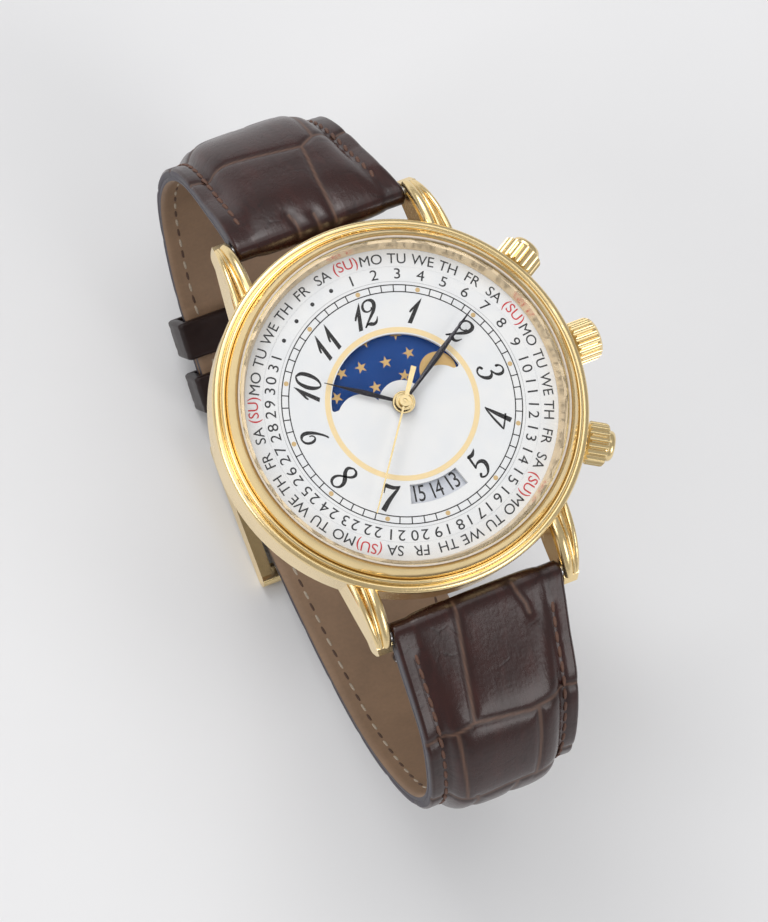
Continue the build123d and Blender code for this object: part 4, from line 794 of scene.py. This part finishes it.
def minute_track(bm, height):
    """Two circles, joined by a line at each minute between the hours."""
    faces = []
    for radius in track_circles:
        faces += ring_band(bm, radius - track_line / 2, radius + track_line / 2, height)
    for minute in range(60):
        if minute % 5:
            dx, dy = clock(track_line / 2, minute * 6 + 90)
            (ax, ay), (bx, by) = (clock(radius, minute * 6) for radius in track_circles)
            line = [(ax - dx, ay - dy), (ax + dx, ay + dy), (bx + dx, by + dy), (bx - dx, by - dy)]
            faces.append(polygon(bm, line, height))
    return faces


def hour_dots(bm, height):
    radius = sum(track_circles) / 2
    return [disc(bm, *clock(radius, h * 30), hour_dot_radius, height) for h in range(12)]


def blank_dots(bm, height):
    """Dots where the date circle has places but no dates."""
    spots = [clock(date_radius, 360 * n / day_places) for n in range(date_count, day_places)]
    return [disc(bm, *spot, blank_dot_radius, height) for spot in spots]


def smooth_row(points, steps):
    """Catmull-Rom curve through rows of numbers."""
    rows = [np.array(p, float) for p in points]
    rows = [2 * rows[0] - rows[1]] + rows + [2 * rows[-1] - rows[-2]]
    made = []
    for a, b, c, d in zip(rows, rows[1:], rows[2:], rows[3:]):
        for t in np.arange(steps) / steps:
            bend = (2 * a - 5 * b + 4 * c - d) * t**2 + (3 * b - a - 3 * c + d) * t**3
            made.append(0.5 * (2 * b + (c - a) * t + bend))
    return made + [rows[-2]]


def stroke_faces(bm, stroke, place, round_ends, height):
    """A stroke of changing width as a row of quads, with round ends where it is wide there."""
    line = smooth_row(stroke, numeral_steps)
    rows = []
    for n, (x, y, width) in enumerate(line):
        along = line[min(n + 1, len(line) - 1)][:2] - line[max(n - 1, 0)][:2]
        dx, dy = along / np.linalg.norm(along) * width * numeral_boldness / 2
        sides = (place(x + dy, y - dx), place(x - dy, y + dx))
        rows.append([bm.verts.new((*side, height)) for side in sides])
    faces = [bm.faces.new((a[0], a[1], b[1], b[0])) for a, b in zip(rows, rows[1:])]
    for x, y, width in (line[0], line[-1]):
        if round_ends and width > round_end_width:
            radius = width * numeral_boldness * numeral_height / numeral_units / 2
            faces.append(disc(bm, *place(x, y), radius, height, round_end_sides))
    return faces


def figure_faces(bm, figure, shift, matrix, height):
    unit = numeral_height / numeral_units

    def place(x, y):
        right, up = x + shift - numeral_middle[0], numeral_middle[1] - y
        return (matrix @ Vector((right * unit, up * unit, 0))).xy

    if figure == "1":
        return [polygon(bm, [place(x, y) for x, y in figure_one], height)]
    faces = []
    for stroke in figure_strokes[figure]:
        faces += stroke_faces(bm, stroke, place, figure in round_ended_figures, height)
    return faces


def hour_numerals(bm, height):
    faces = []
    for hour, figures in hour_figures.items():
        matrix = upright(hour * 30, numeral_radius, hour in inward_hours)
        for figure, shift in figures:
            faces += figure_faces(bm, figure, shift, matrix, height)
    return faces


def star_shapes(bm, height):
    """Two sets of stars, half a turn apart, kept inside the moon disc's rim."""
    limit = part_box("moon_disc")[1].x - 2 * ink_height
    faces = []
    for side in (1, -1):
        for x, y, lean in star_places:
            points = []
            for n in range(10):
                radius = star_size * (star_waist_share if n % 2 else 1)
                angle = math.radians(90 + lean + 36 * n)
                ray = Vector((math.cos(angle), math.sin(angle)))
                point = Vector((x, y)) * mm + radius * ray
                points.append(point * side * min(1, limit / point.length))
            faces.append(polygon(bm, points, height))
    return faces


def moon_shapes(bm, height):
    angle = math.radians(moon_bearing_deg)
    x, y = moon_orbit * math.cos(angle), moon_orbit * math.sin(angle)
    return [disc(bm, s * x, s * y, moon_size, height, moon_sides) for s in (1, -1)]


def dial_printing():
    weekday_names()
    date_circle()
    window_numbers()
    gold_band, pale_band, edge_band = (
        partial(ring_band, inner=inner, outer=outer)
        for inner, outer in (gold_circle, pale_circle, dial_edge)
    )
    on_dial = ("watch", "dial_silver")
    on_moon = ("moon", "moon_blue")
    for name, draw, surface, material, rest in (
        ("minute_track", minute_track, dial_top, ink_black, on_dial),
        ("hour_dots", hour_dots, dial_top, gold_dot, on_dial),
        ("blank_date_dots", blank_dots, dial_top, ink_grey, on_dial),
        ("gold_circle", gold_band, dial_top, gold_line, on_dial),
        ("pale_circle", pale_band, dial_top, ink_pale, on_dial),
        ("dial_edge", edge_band, dial_top - dial_edge_drop, dial_silver, on_dial),
        ("hour_numerals", hour_numerals, dial_top, ink_black, on_dial),
        ("star_shapes", star_shapes, moon_top, star_gold, on_moon),
        ("moon_shapes", moon_shapes, moon_top, star_gold, on_moon),
    ):
        bm = bmesh.new()
        thicken(bm, draw(bm, height=surface + ink_gap), ink_height)
        new_piece(name, mesh_of(name, bm), material, *rest)


def hub_cup(name, node, body):
    """A hand's gold boss, with a raised rounded lip round a sunk floor."""
    low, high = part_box(node)
    radius, top, floor = high.x, high.z + hub_rise, low.z + hub_round
    bm = bmesh.new()
    spun(bm, [
        (radius / 2, low.z), (radius, low.z), (radius, top - hub_round), (radius - hub_round, top),
        (radius - hub_lip + hub_round, top), (radius - hub_lip, top - hub_round),
        (radius - hub_lip, floor), (radius / 2, floor),
    ], hub_sides)
    new_piece(name, mesh_of(name, bm), gold_hand, body, "gold_polished", node)


def leaf_hand(name, node, body, bearing, length, form):
    """A leaf-shaped hand with a ridge along its middle, and its ring round the hub."""
    low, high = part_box(node)
    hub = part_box(node.replace("hand", "boss"))[1].x
    edge = low.z + hand_edge_height
    root = hub * hand_root_share
    bm = bmesh.new()
    rows = []
    for share, half in smooth_row(form, hand_steps):
        y, half = root + share * (length - root), half * mm
        section = [(-half, low.z), (-half, edge), (0, high.z), (half, edge), (half, low.z)]
        rows.append([bm.verts.new((x, y, z)) for x, z in section])
    for a, b in zip(rows, rows[1:]):
        for n in range(len(a)):
            bm.faces.new((a[n - 1], a[n], b[n], b[n - 1]))
    bm.faces.new(rows[0])
    bm.faces.new(rows[-1][::-1])
    turn_to(bm, bearing)
    bore = hub * hand_ring_share
    spun(bm, [(bore, low.z), (hub, low.z), (hub, high.z), (bore, high.z)], hub_sides)
    new_piece(name, mesh_of(name, bm), hand_dark, body, "hand_charcoal", node)


def seconds_pointer():
    """The seconds hand: a fine pointer, a wide tail and a pierced hub with its pin."""
    low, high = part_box("seconds_hand")
    tail_root, tail_end, root, tip = seconds_half_widths
    start, stop, tail = overlap_share * seconds_hub_radius, seconds_hand_length, seconds_tail_length
    bm = bmesh.new()
    thicken(bm, [
        polygon(bm, [(-root, start), (-tip, stop), (tip, stop), (root, start)], low.z),
        polygon(
            bm,
            [(-tail_end, -tail), (-tail_root, -start), (tail_root, -start), (tail_end, -tail)],
            low.z,
        ),
    ], seconds_thickness)
    turn_to(bm, seconds_hand_deg)
    floor, lip, pin = high.z - seconds_eye_depth, high.z - hub_round, seconds_pin_radius
    spun(bm, [
        (overlap_share * pin, low.z), (seconds_hub_radius, low.z), (seconds_hub_radius, lip),
        (seconds_hub_radius - hub_round, high.z), (seconds_eye_radius + hub_round, high.z),
        (seconds_eye_radius, lip), (seconds_eye_radius, floor), (overlap_share * pin, floor),
    ], hub_sides)
    thicken(bm, [disc(bm, 0, 0, pin, floor)], seconds_eye_depth - hub_round)
    mesh = mesh_of("seconds_pointer", bm)
    new_piece("seconds_pointer", mesh, gold_hand, "seconds", "gold_polished", "seconds_hand")


def hands():
    hour, minute = (hour_hand_deg, hour_hand_length), (minute_hand_deg, minute_hand_length)
    leaf_hand("hour_leaf", "hour_hand", "hour", *hour, hour_hand_form)
    leaf_hand("minute_leaf", "minute_hand", "minute", *minute, minute_hand_form)
    hub_cup("hour_hub_cup", "hour_boss", "hour")
    hub_cup("minute_hub_cup", "minute_boss", "minute")
    seconds_pointer()


def path_lengths(points):
    return np.concatenate([[0], np.cumsum(np.linalg.norm(np.diff(points, axis=0), axis=1))])


def natural_spline(points):
    """Evenly spaced points of a natural cubic spline, with the chord's length as its parameter."""
    points = np.array(points, float)
    knots = path_lengths(points)
    gaps = np.diff(knots)
    size = len(points)
    system = np.eye(size)
    right = np.zeros_like(points)
    for n in range(1, size - 1):
        system[n, n - 1 : n + 2] = gaps[n - 1], 2 * (gaps[n - 1] + gaps[n]), gaps[n]
        slope = np.diff(points[n - 1 : n + 2], axis=0) / gaps[n - 1 : n + 1, None]
        right[n] = 6 * (slope[1] - slope[0])
    bend = np.linalg.solve(system, right)
    made = []
    for t in np.linspace(0, knots[-1], curve_points):
        n = min(np.searchsorted(knots, t, side="right") - 1, size - 2)
        h, a, b = gaps[n], (knots[n + 1] - t) / gaps[n], (t - knots[n]) / gaps[n]
        bow = ((a**3 - a) * bend[n] + (b**3 - b) * bend[n + 1]) * h**2 / 6
        made.append(a * points[n] + b * points[n + 1] + bow)
    return np.array(made)


def smooth_rows(rows, reach):
    """Running mean over neighbouring rows."""
    ends = [np.repeat(end, reach, axis=0) for end in (rows[:1], rows[-1:])]
    padded = np.concatenate([ends[0], rows, ends[1]])
    kernel = np.ones(2 * reach + 1) / (2 * reach + 1)
    return np.stack([np.convolve(column, kernel, mode="valid") for column in padded.T], axis=1)


def unit_rows(rows):
    return rows / np.linalg.norm(rows, axis=1)[:, None]


def slope_direction(degrees):
    return -np.array([math.cos(math.radians(degrees)), math.sin(math.radians(degrees))])


def outward(direction):
    return np.array([-direction[1], direction[0]])


class StrapHalf:
    """Rows of a strap half: its margin's line in the YZ plane, its outward normal and the
    distance along it. The line starts round the spring bar and ends in the given tail."""

    def __init__(self, side, form, reach):
        self.side, self.pads, self.edges = side, form["pads"], form["edges"]
        self.inset = np.array(form["inset"]) * mm
        run = reach - lug_bar_y
        points = [(side * (lug_bar_y + out * run), drop) for out, drop in form["out"]]
        points += [(side * out * reach, drop) for out, drop in form["back"]]
        self.curve = natural_spline([(y, dial_top - drop * loop_depth) for y, drop in points])
        self.curve_length = path_lengths(self.curve)[-1]

    def set_line(self, tail):
        points = np.concatenate([self.curve, tail])
        lengths = path_lengths(points)
        self.along = np.linspace(0, lengths[-1], int(lengths[-1] / grid_step))
        columns = [np.interp(self.along, lengths, column) for column in points.T]
        self.line = np.stack(columns, axis=1)
        slope = unit_rows(smooth_rows(np.gradient(self.line, axis=0), slope_reach))
        self.normal = np.stack([-slope[:, 1], slope[:, 0]], axis=1) * self.side
        self.place = np.clip(self.along / self.curve_length, 0, 1)
        self.add_eye()

    def add_eye(self):
        """Carries the line round the spring bar, from under it and past the case to its top."""
        centre = np.array([self.side * lug_bar_y, lug_bar_height])
        pad = crown_pad * self.pads[0] + least_pad
        joint = self.line[0] + self.normal[0] * pad - centre
        radius = np.linalg.norm(joint)
        start = math.atan2(joint[1], joint[0] * self.side)
        count = int(math.pi * radius / grid_step) + eye_extra_rows
        turns = np.linspace(math.radians(eye_start_deg), start, count)[:-1]
        out = np.stack([np.cos(turns) * self.side, np.sin(turns)], axis=1)
        self.eye_base = radius - pad
        self.eye_rows = len(turns)
        self.along = np.concatenate([(start - turns) * radius, self.along])
        self.place = np.concatenate([np.zeros(len(turns)), self.place])
        self.line = self.ease_joint(np.concatenate([centre + out * self.eye_base, self.line]))
        self.normal = unit_rows(self.ease_joint(np.concatenate([out, self.normal])))

    def ease_joint(self, rows):
        """Smooths the rows where the eye meets the strap's line."""
        far = abs(np.arange(len(rows)) - self.eye_rows)
        weight = np.clip(eye_ease_reach - far / eye_ease_rows, 0, 1)[:, None]
        return rows * (1 - weight) + smooth_rows(rows, eye_ease_rows) * weight

    def between(self, ends):
        return ends[0] + (ends[1] - ends[0]) * self.place

    def padding(self):
        """Height of each row's crown, and of its margins."""
        pads, edges = (
            np.interp(self.place, np.linspace(0, 1, len(table)), table)
            for table in (self.pads, self.edges)
        )
        pad = crown_pad * pads + least_pad
        return pad, pad * edges

    def widths(self):
        """The half width to the left, and the one to the right, which is narrower."""
        left = self.between(half_widths)
        return left, left - np.interp(self.along, *self.inset.T)

    def rows_across(self, first, count):
        """Places across each row, their distance from the nearer edge and along the strap."""
        left, right = (width[first:, None] for width in self.widths())
        x = -left + (left + right) * np.linspace(0, 1, count)[None, :]
        along = np.repeat(self.along[first:, None], count, axis=1)
        return x, np.minimum(x + left, right - x), along

    def points(self, x, height):
        """Points from places across the last rows, and their height over the margin's line."""
        first = len(self.line) - len(x)
        base = self.line[first:, None] + self.normal[first:, None] * height[..., None]
        return np.concatenate([np.broadcast_to(x, height.shape)[..., None], base], axis=-1)

    def spot(self, s):
        """The margin's point at a distance along the strap, and its outward normal."""
        y, z, ny, nz = (np.interp(s, self.along, v) for v in (*self.line.T, *self.normal.T))
        return np.array([0, y, z]), np.array([0, ny, nz])


def buckle_line(start):
    """The upper half's straight run through the keepers and its bend to the buckle's bar."""
    points = [start + slope_direction(keeper_slope_deg) * buckle_straight]
    for run, degrees in bend_runs:
        points.append(points[-1] + slope_direction(degrees) * run)
    return np.array(points)


def tail_line(start):
    """The lower half's tail, outside the buckle piece, up to its end in the free keeper."""
    run = [start + slope_direction(keeper_slope_deg) * tail_start, *buckle_line(start)]
    slopes = [keeper_slope_deg, keeper_slope_deg] + [degrees for _, degrees in bend_runs]
    thick = leather_thicknesses[1] + lining_thicknesses[1] + layer_gap
    moved = [p + outward(slope_direction(degrees)) * thick for p, degrees in zip(run, slopes)]
    return np.array(moved[::-1])


def groove_field(lines, x, along):
    """Distance of each grid point to the nearest of the grain's lines."""
    nearest = np.full(x.shape, 1.0)
    for line in lines:
        points = np.array(line, float) * mm
        for a, b in zip(points, points[1:]):
            d = b - a
            t = np.clip(((x - a[0]) * d[0] + (along - a[1]) * d[1]) / (d @ d), 0, 1)
            far = np.hypot(x - a[0] - t * d[0], along - a[1] - t * d[1])
            nearest = np.minimum(nearest, far)
    return nearest


def wavy(start, end, seed, sway):
    """A line between two points with a seeded sway, as the grain's lines have."""
    random = np.random.default_rng(seed)
    start, end = np.array(start), np.array(end)
    aside = np.array([0, 1] if abs(end - start)[0] > abs(end - start)[1] else [1, 0])
    points = []
    for n in range(grain_steps + 1):
        bend = 0 if n in (0, grain_steps) else random.uniform(-sway, sway)
        points.append(start + (end - start) * n / grain_steps + aside * bend)
    return points


def grain_lines(first_lines, seed):
    """The first lines, and the rows of scales that follow them."""
    random = np.random.default_rng(seed)
    lines = list(first_lines)
    low = first_rows
    for n, length in enumerate(row_lengths):
        high = low + length
        ends = [(x, high + random.uniform(*grain_lean)) for x in grain_sides]
        lines.append(wavy(*ends, seed + n, row_sway))
        if n > 0:
            for k, spot in enumerate(scale_spots[n % 2]):
                x = spot + random.uniform(*spot_shift)
                foot = x + random.uniform(*grain_lean)
                lines.append(wavy((x, low), (foot, high), seed + 40 + 3 * n + k, scale_sway))
        low = high
    return lines


def bell(distance, width):
    return np.exp(-((distance / width) ** 2))


def corner_drop(gap):
    """How far the rounded corner lies below the face, by the distance from the edge."""
    return edge_round - np.sqrt(np.maximum(edge_round**2 - np.maximum(edge_round - gap, 0) ** 2, 0))


def strap_layer(name, node, half, x, along, face, back, material, slot, marks):
    """A layer of a strap half from its wide face and its back line, with painted edges whose violet
    tint is a painted reflection. Each point keeps its place on the strap for the material, and its
    marks, with none on the back."""
    edges = [half.points(x[:, at : at + 1 or None], back[:, None]) for at in (-1, 0)]
    rings = np.concatenate([half.points(x, face), *edges], axis=1)
    rows, columns = x.shape
    kinds = np.zeros(columns + 2, int)
    kinds[[columns - 1, columns + 1]] = 1
    kinds = np.concatenate([np.tile(kinds, rows - 1), [1, 1]])
    verts, faces = rings.reshape(-1, 3).tolist(), ring_faces(rings, False)
    mesh = smooth_mesh(name, verts, faces, (material, edge_paint_and_blue_sheen), kinds)
    lie = np.stack([x, along, np.zeros_like(x)], axis=-1)
    lie = np.concatenate([lie, lie[:, -1:], lie[:, :1]], axis=1)
    place = mesh.attributes.new("lie", "FLOAT_VECTOR", "POINT")
    place.data.foreach_set("vector", lie.astype(np.float32).ravel())
    marks = np.pad(marks, ((0, 0), (0, 2), (0, 0)))
    tint = mesh.attributes.new("marks", "FLOAT_COLOR", "POINT")
    tint.data.foreach_set("color", marks.astype(np.float32).ravel())
    return new_piece(name, mesh, None, "watch", slot, node)


def leather_piece(name, node, half, first_lines, seed, first_stitch):
    """The padded outer leather of a strap half, with its grain and the stitches' channel."""
    x, gap, along = half.rows_across(0, int(2 * half_widths[0] / grid_step))
    pad, rise = half.padding()
    crown = 1 - np.exp(-np.maximum(gap - margin_width, 0) / shoulder_softness)
    near = groove_field(grain_lines(first_lines, seed), x, along)
    groove_and_painted_shade, ridge = bell(near, groove_width), bell(near, ridge_share * groove_width)
    channel = bell(gap - stitch_inset, stitch_channel)
    channel *= np.clip((along - first_stitch) / mm + 1, 0, 1)
    height = rise[:, None] + (pad - rise)[:, None] * crown
    height -= scale_dome * bell(near, scale_dome_reach) + stitch_sink * channel
    height -= groove_depth * groove_and_painted_shade * (1 - ridge_rise * ridge) + corner_drop(gap)
    inner = -half.between(leather_thicknesses)
    at_bar = eye_bore - half.eye_base
    soft = np.clip(half.along / bore_run, 0, 1) ** bore_power
    soft[: half.eye_rows] = 0
    inner = at_bar + (inner - at_bar) * soft
    # The marks' first channel carries the grooves for their painted shade, the second the worn
    # ridges in them.
    marks = np.stack([groove_and_painted_shade, ridge, np.zeros_like(x), np.ones_like(x)], axis=-1)
    return strap_layer(
        name, node, half, x, along, height, inner, leather_brown, "leather_brown", marks
    )


def lining_piece(name, node, half):
    first = half.eye_rows + int(lining_start / grid_step)
    x, gap, along = half.rows_across(first, lining_columns)
    outer = -half.between(leather_thicknesses)[first:]
    under = outer - half.between(lining_thicknesses)[first:]
    face = under[:, None] + corner_drop(gap)
    marks = np.zeros((*x.shape, 4))
    return strap_layer(
        name, node, half, x, along, face, outer, lining_tan, "lining_beige", marks
    )


def slot_cutter(low, high):
    bm = bmesh.new()
    low, high = Vector(low), Vector(high)
    bmesh.ops.create_cube(bm, size=1)
    bmesh.ops.scale(bm, verts=bm.verts, vec=high - low)
    bmesh.ops.translate(bm, verts=bm.verts, vec=(low + high) / 2)
    return mesh_of("cutter", bm)


def hole_cutter(half, n):
    s = half.curve_length - first_hole_distance - n * hole_spacing
    centre, up = half.spot(s)
    left, right = half.widths()
    centre[0] = np.interp(s, half.along, right - left) / 2
    turn = Vector((0, 0, 1)).rotation_difference(Vector(up)).to_matrix().to_4x4()
    bm = bmesh.new()
    bmesh.ops.create_cone(
        bm, cap_ends=True, segments=hole_sides, radius1=hole_radius, radius2=hole_radius,
        depth=hole_depth,
    )
    bmesh.ops.transform(bm, matrix=Matrix.Translation(centre) @ turn, verts=bm.verts)
    return mesh_of("cutter", bm)


def cut_away(pieces, mesh):
    """Takes a closed mesh out of the pieces for good."""
    tool = placed("cutter", mesh)
    for piece in pieces:
        cut = piece.modifiers.new("cut", "BOOLEAN")
        cut.object, cut.operation, cut.solver = tool, "DIFFERENCE", "EXACT"
        bpy.context.view_layer.update()
        ready = piece.evaluated_get(bpy.context.evaluated_depsgraph_get())
        made, old = bpy.data.meshes.new_from_object(ready), piece.data
        piece.modifiers.remove(cut)
        piece.data = made
        bpy.data.meshes.remove(old)
    bpy.data.objects.remove(tool)
    bpy.data.meshes.remove(mesh)


def stitch_mesh(name, frames, thick):
    """Short two-ply threads, each bowed into its holes: frames are (middle, along, up)."""
    rings, sides = stitch_shape
    angles = 2 * math.pi * np.arange(sides) / sides
    t, angle = np.meshgrid(np.linspace(-1, 1, rings), angles, indexing="ij")
    lobe = thick * (1 - 0.55 * t**6) * (1 + 0.16 * np.cos(2 * angle - 3.2 * t))
    ahead, aside = t * stitch_length / 2, lobe * np.cos(angle)
    rise = 0.85 * lobe * np.sin(angle) - 1.1 * thick * t**4
    one = ring_faces(t, False)
    verts, faces = [], []
    for middle, along, up in frames:
        faces += [[len(verts) + corner for corner in face] for face in one]
        moves = zip((ahead, aside, rise), (along, np.cross(along, up), up))
        points = middle + sum(share[..., None] * direction for share, direction in moves)
        verts += points.reshape(-1, 3).tolist()
    return smooth_mesh(name, verts, faces)


def stitch_frames(half, heights, start, end, outside):
    """Places of the stitches along both margins, on the outer side (1) or the inner one (-1)."""
    frames = []
    for edge, widths in zip((-1, 1), half.widths()):
        for n in range(int((end - start) / stitch_pitch)):
            s = start + n * stitch_pitch
            point, up = half.spot(s)
            up /= np.linalg.norm(up)
            point += up * np.interp(s, half.along, heights)
            point[0] += edge * (np.interp(s, half.along, widths) - stitch_inset)
            slant = math.radians(stitch_slant_deg) * edge * outside
            direction = np.cross(up, [1, 0, 0]) * math.cos(slant)
            direction[0] += math.sin(slant)
            frames.append((point, direction, up * outside))
    return frames


def strap_stitches(prefix, half, start, end):
    top = half.padding()[1] - 0.75 * stitch_sink
    low = lining_stitch_rise - half.between(leather_thicknesses) - half.between(lining_thicknesses)
    outer = stitch_frames(half, top, start, end, 1)
    inner = stitch_frames(half, low, start + stitch_pitch, end, -1)
    thin = 0.8 * stitch_thick
    for name, frames, thick, material in (
        ("_stitches", outer, stitch_thick, thread_brown),
        ("_lining_stitches", inner[::2], thin, thread_light),
        ("_dark_stitches", inner[1::2], thin, thread_dark),
    ):
        new_piece(prefix + name, stitch_mesh(prefix, frames, thick), material, "watch")


def band_outline(half, top, bottom, corner, pull):
    """Rounded rectangle from -bottom to top, drawn in by pull."""
    corner = max(corner - pull, 0.02 * mm)
    right, high, low = half - pull - corner, top - pull - corner, bottom - pull - corner
    points = []
    for n, (x, y) in enumerate([(right, high), (-right, high), (-right, -low), (right, -low)]):
        for step in range(corner_steps + 1):
            angle = math.radians(90 * (n + step / corner_steps))
            points.append((x + corner * math.cos(angle), y + corner * math.sin(angle)))
    return points


def keeper_piece(name, node, start, sizes, body):
    """A leather band round both layers, its corners and outer edges rounded."""
    distance, length, outer_thick, inner_gap = sizes
    direction = slope_direction(keeper_slope_deg)
    strap = leather_thicknesses[1] + lining_thicknesses[1]
    inside = np.array([half_widths[1], layer_gap + strap, strap])
    inside += (keeper_clearance, keeper_clearance, inner_gap)
    outside = inside + (keeper_thickness, outer_thick, keeper_thickness)
    depth, place, width = keeper_crease
    shares = [np.linspace(*run) for run in ((0, 0.12, 5), (0.2, 0.8, 9), (0.88, 1, 5))]
    shares = np.concatenate(shares)
    rings = []
    for share in shares:
        ease = min(share, 1 - share) * length
        cut = max(keeper_edge_round - ease, 0)
        pull = keeper_edge_round - math.sqrt(max(keeper_edge_round**2 - cut**2, 0))
        pull += depth * bell(ease - place, width)
        rings.append((share, band_outline(*outside, keeper_corner, pull)))
    rings += [(share, band_outline(*inside, keeper_inner_corner, 0)) for share in shares[::-1]]
    rows = []
    for share, ring in rings:
        centre = start + direction * (distance + share * length)
        rows.append([(x, *(centre + outward(direction) * height)) for x, height in ring])
    rows = np.array(rows)
    mesh = smooth_mesh(name, rows.reshape(-1, 3).tolist(), ring_faces(rows, True))
    new_piece(name, mesh, leather_dark, body, "leather_keeper", node)


def strap_half(side, half, first_lines, seed, stitches, cutters):
    first, last = stitches
    names = [(f"{side}_strap_{layer}", f"strap_{side}_{layer}") for layer in ("leather", "lining")]
    leather = leather_piece(*names[0], half, first_lines, seed, first)
    lining = lining_piece(*names[1], half)
    for cutter in cutters:
        cut_away((leather, lining), cutter)
    strap_stitches(side + "_strap", half, first, half.along[-1] - last)


def straps():
    upper = StrapHalf(1, upper_form, loop_reach_far)
    lower = StrapHalf(-1, lower_form, loop_reach_near)
    end = upper.curve[-1]
    upper.set_line(buckle_line(end))
    lower.set_line(tail_line(end))
    reach = Vector((slot_half_width, slot_half_length, slot_half_height))
    bar = Vector((0, buckle_bar_y, buckle_bar_height))
    bar_slot = slot_cutter(bar - reach, bar + reach)
    strap_half("upper", upper, upper_first_lines, upper_seed, upper_stitches, [bar_slot])
    holes = [hole_cutter(lower, n) for n in range(hole_count)]
    tongue_slot = slot_cutter(
        (-slot_half_width, tail_slot[0], buckle_bar_height - tail_slot_depth),
        (slot_half_width, tail_slot[1], buckle_bar_height),
    )
    strap_half("lower", lower, lower_first_lines, lower_seed, lower_stitches, [*holes, tongue_slot])
    keeper_piece("fixed_keeper_band", "fixed_keeper", end, fixed_keeper_sizes, "watch")
    keeper_piece("free_keeper_band", "free_keeper", end, free_keeper_sizes, "loop")


def floor():
    mesh = bpy.data.meshes.new("floor")
    corners = [(-1, -1), (1, -1), (1, 1), (-1, 1)]
    points = [(x * floor_reach, y * floor_reach, floor_height) for x, y in corners]
    mesh.from_pydata(points, [], [(0, 1, 2, 3)])
    mat = Finish("floor_pale", (0.78, 0.78, 0.79), 0.6)
    colour = mat.blend(mat.noise(30, 3), (0.76, 0.76, 0.77), (0.80, 0.80, 0.81))
    mesh.materials.append(mat.set(Base_Color=colour))
    placed("floor", mesh)


def lights():
    world = bpy.data.worlds.new("studio")
    world.use_nodes = True
    bpy.context.scene.world = world
    plain = world.node_tree.nodes["Background"]
    plain.inputs["Color"].default_value = (0.88, 0.88, 0.885, 1)
    plain.inputs["Strength"].default_value = 0.45
    for name, place, size, power in (
        ("key_lamp", (-0.1, 0.5, 0.85), 1.1, 4.2),
        ("north_lamp", (-0.08, 0.72, 0.62), 0.45, 2.4),
        ("low_lamp", (0.3, -0.7, 0.5), 0.5, 2.4),
        ("side_lamp", (-0.75, 0.05, 0.5), 0.4, 2.0),
    ):
        light = bpy.data.lights.new(name, "AREA")
        light.size = size
        light.energy = power
        lamp = placed(name, light)
        lamp.location = place
        lamp.rotation_euler = (-Vector(place)).to_track_quat("-Z", "Y").to_euler()


def camera():
    data = bpy.data.cameras.new("camera")
    data.lens = camera_lens
    data.sensor_width = camera_sensor
    data.clip_start = 0.01
    data.clip_end = 20
    made = placed("camera", data)
    made.location = camera_place
    made.rotation_euler = [math.radians(d) for d in camera_turn_deg]
    bpy.context.scene.camera = made


dress_cad()
dial_printing()
hands()
straps()
floor()
lights()
camera()
bpy.context.scene.view_settings.view_transform = "Standard"
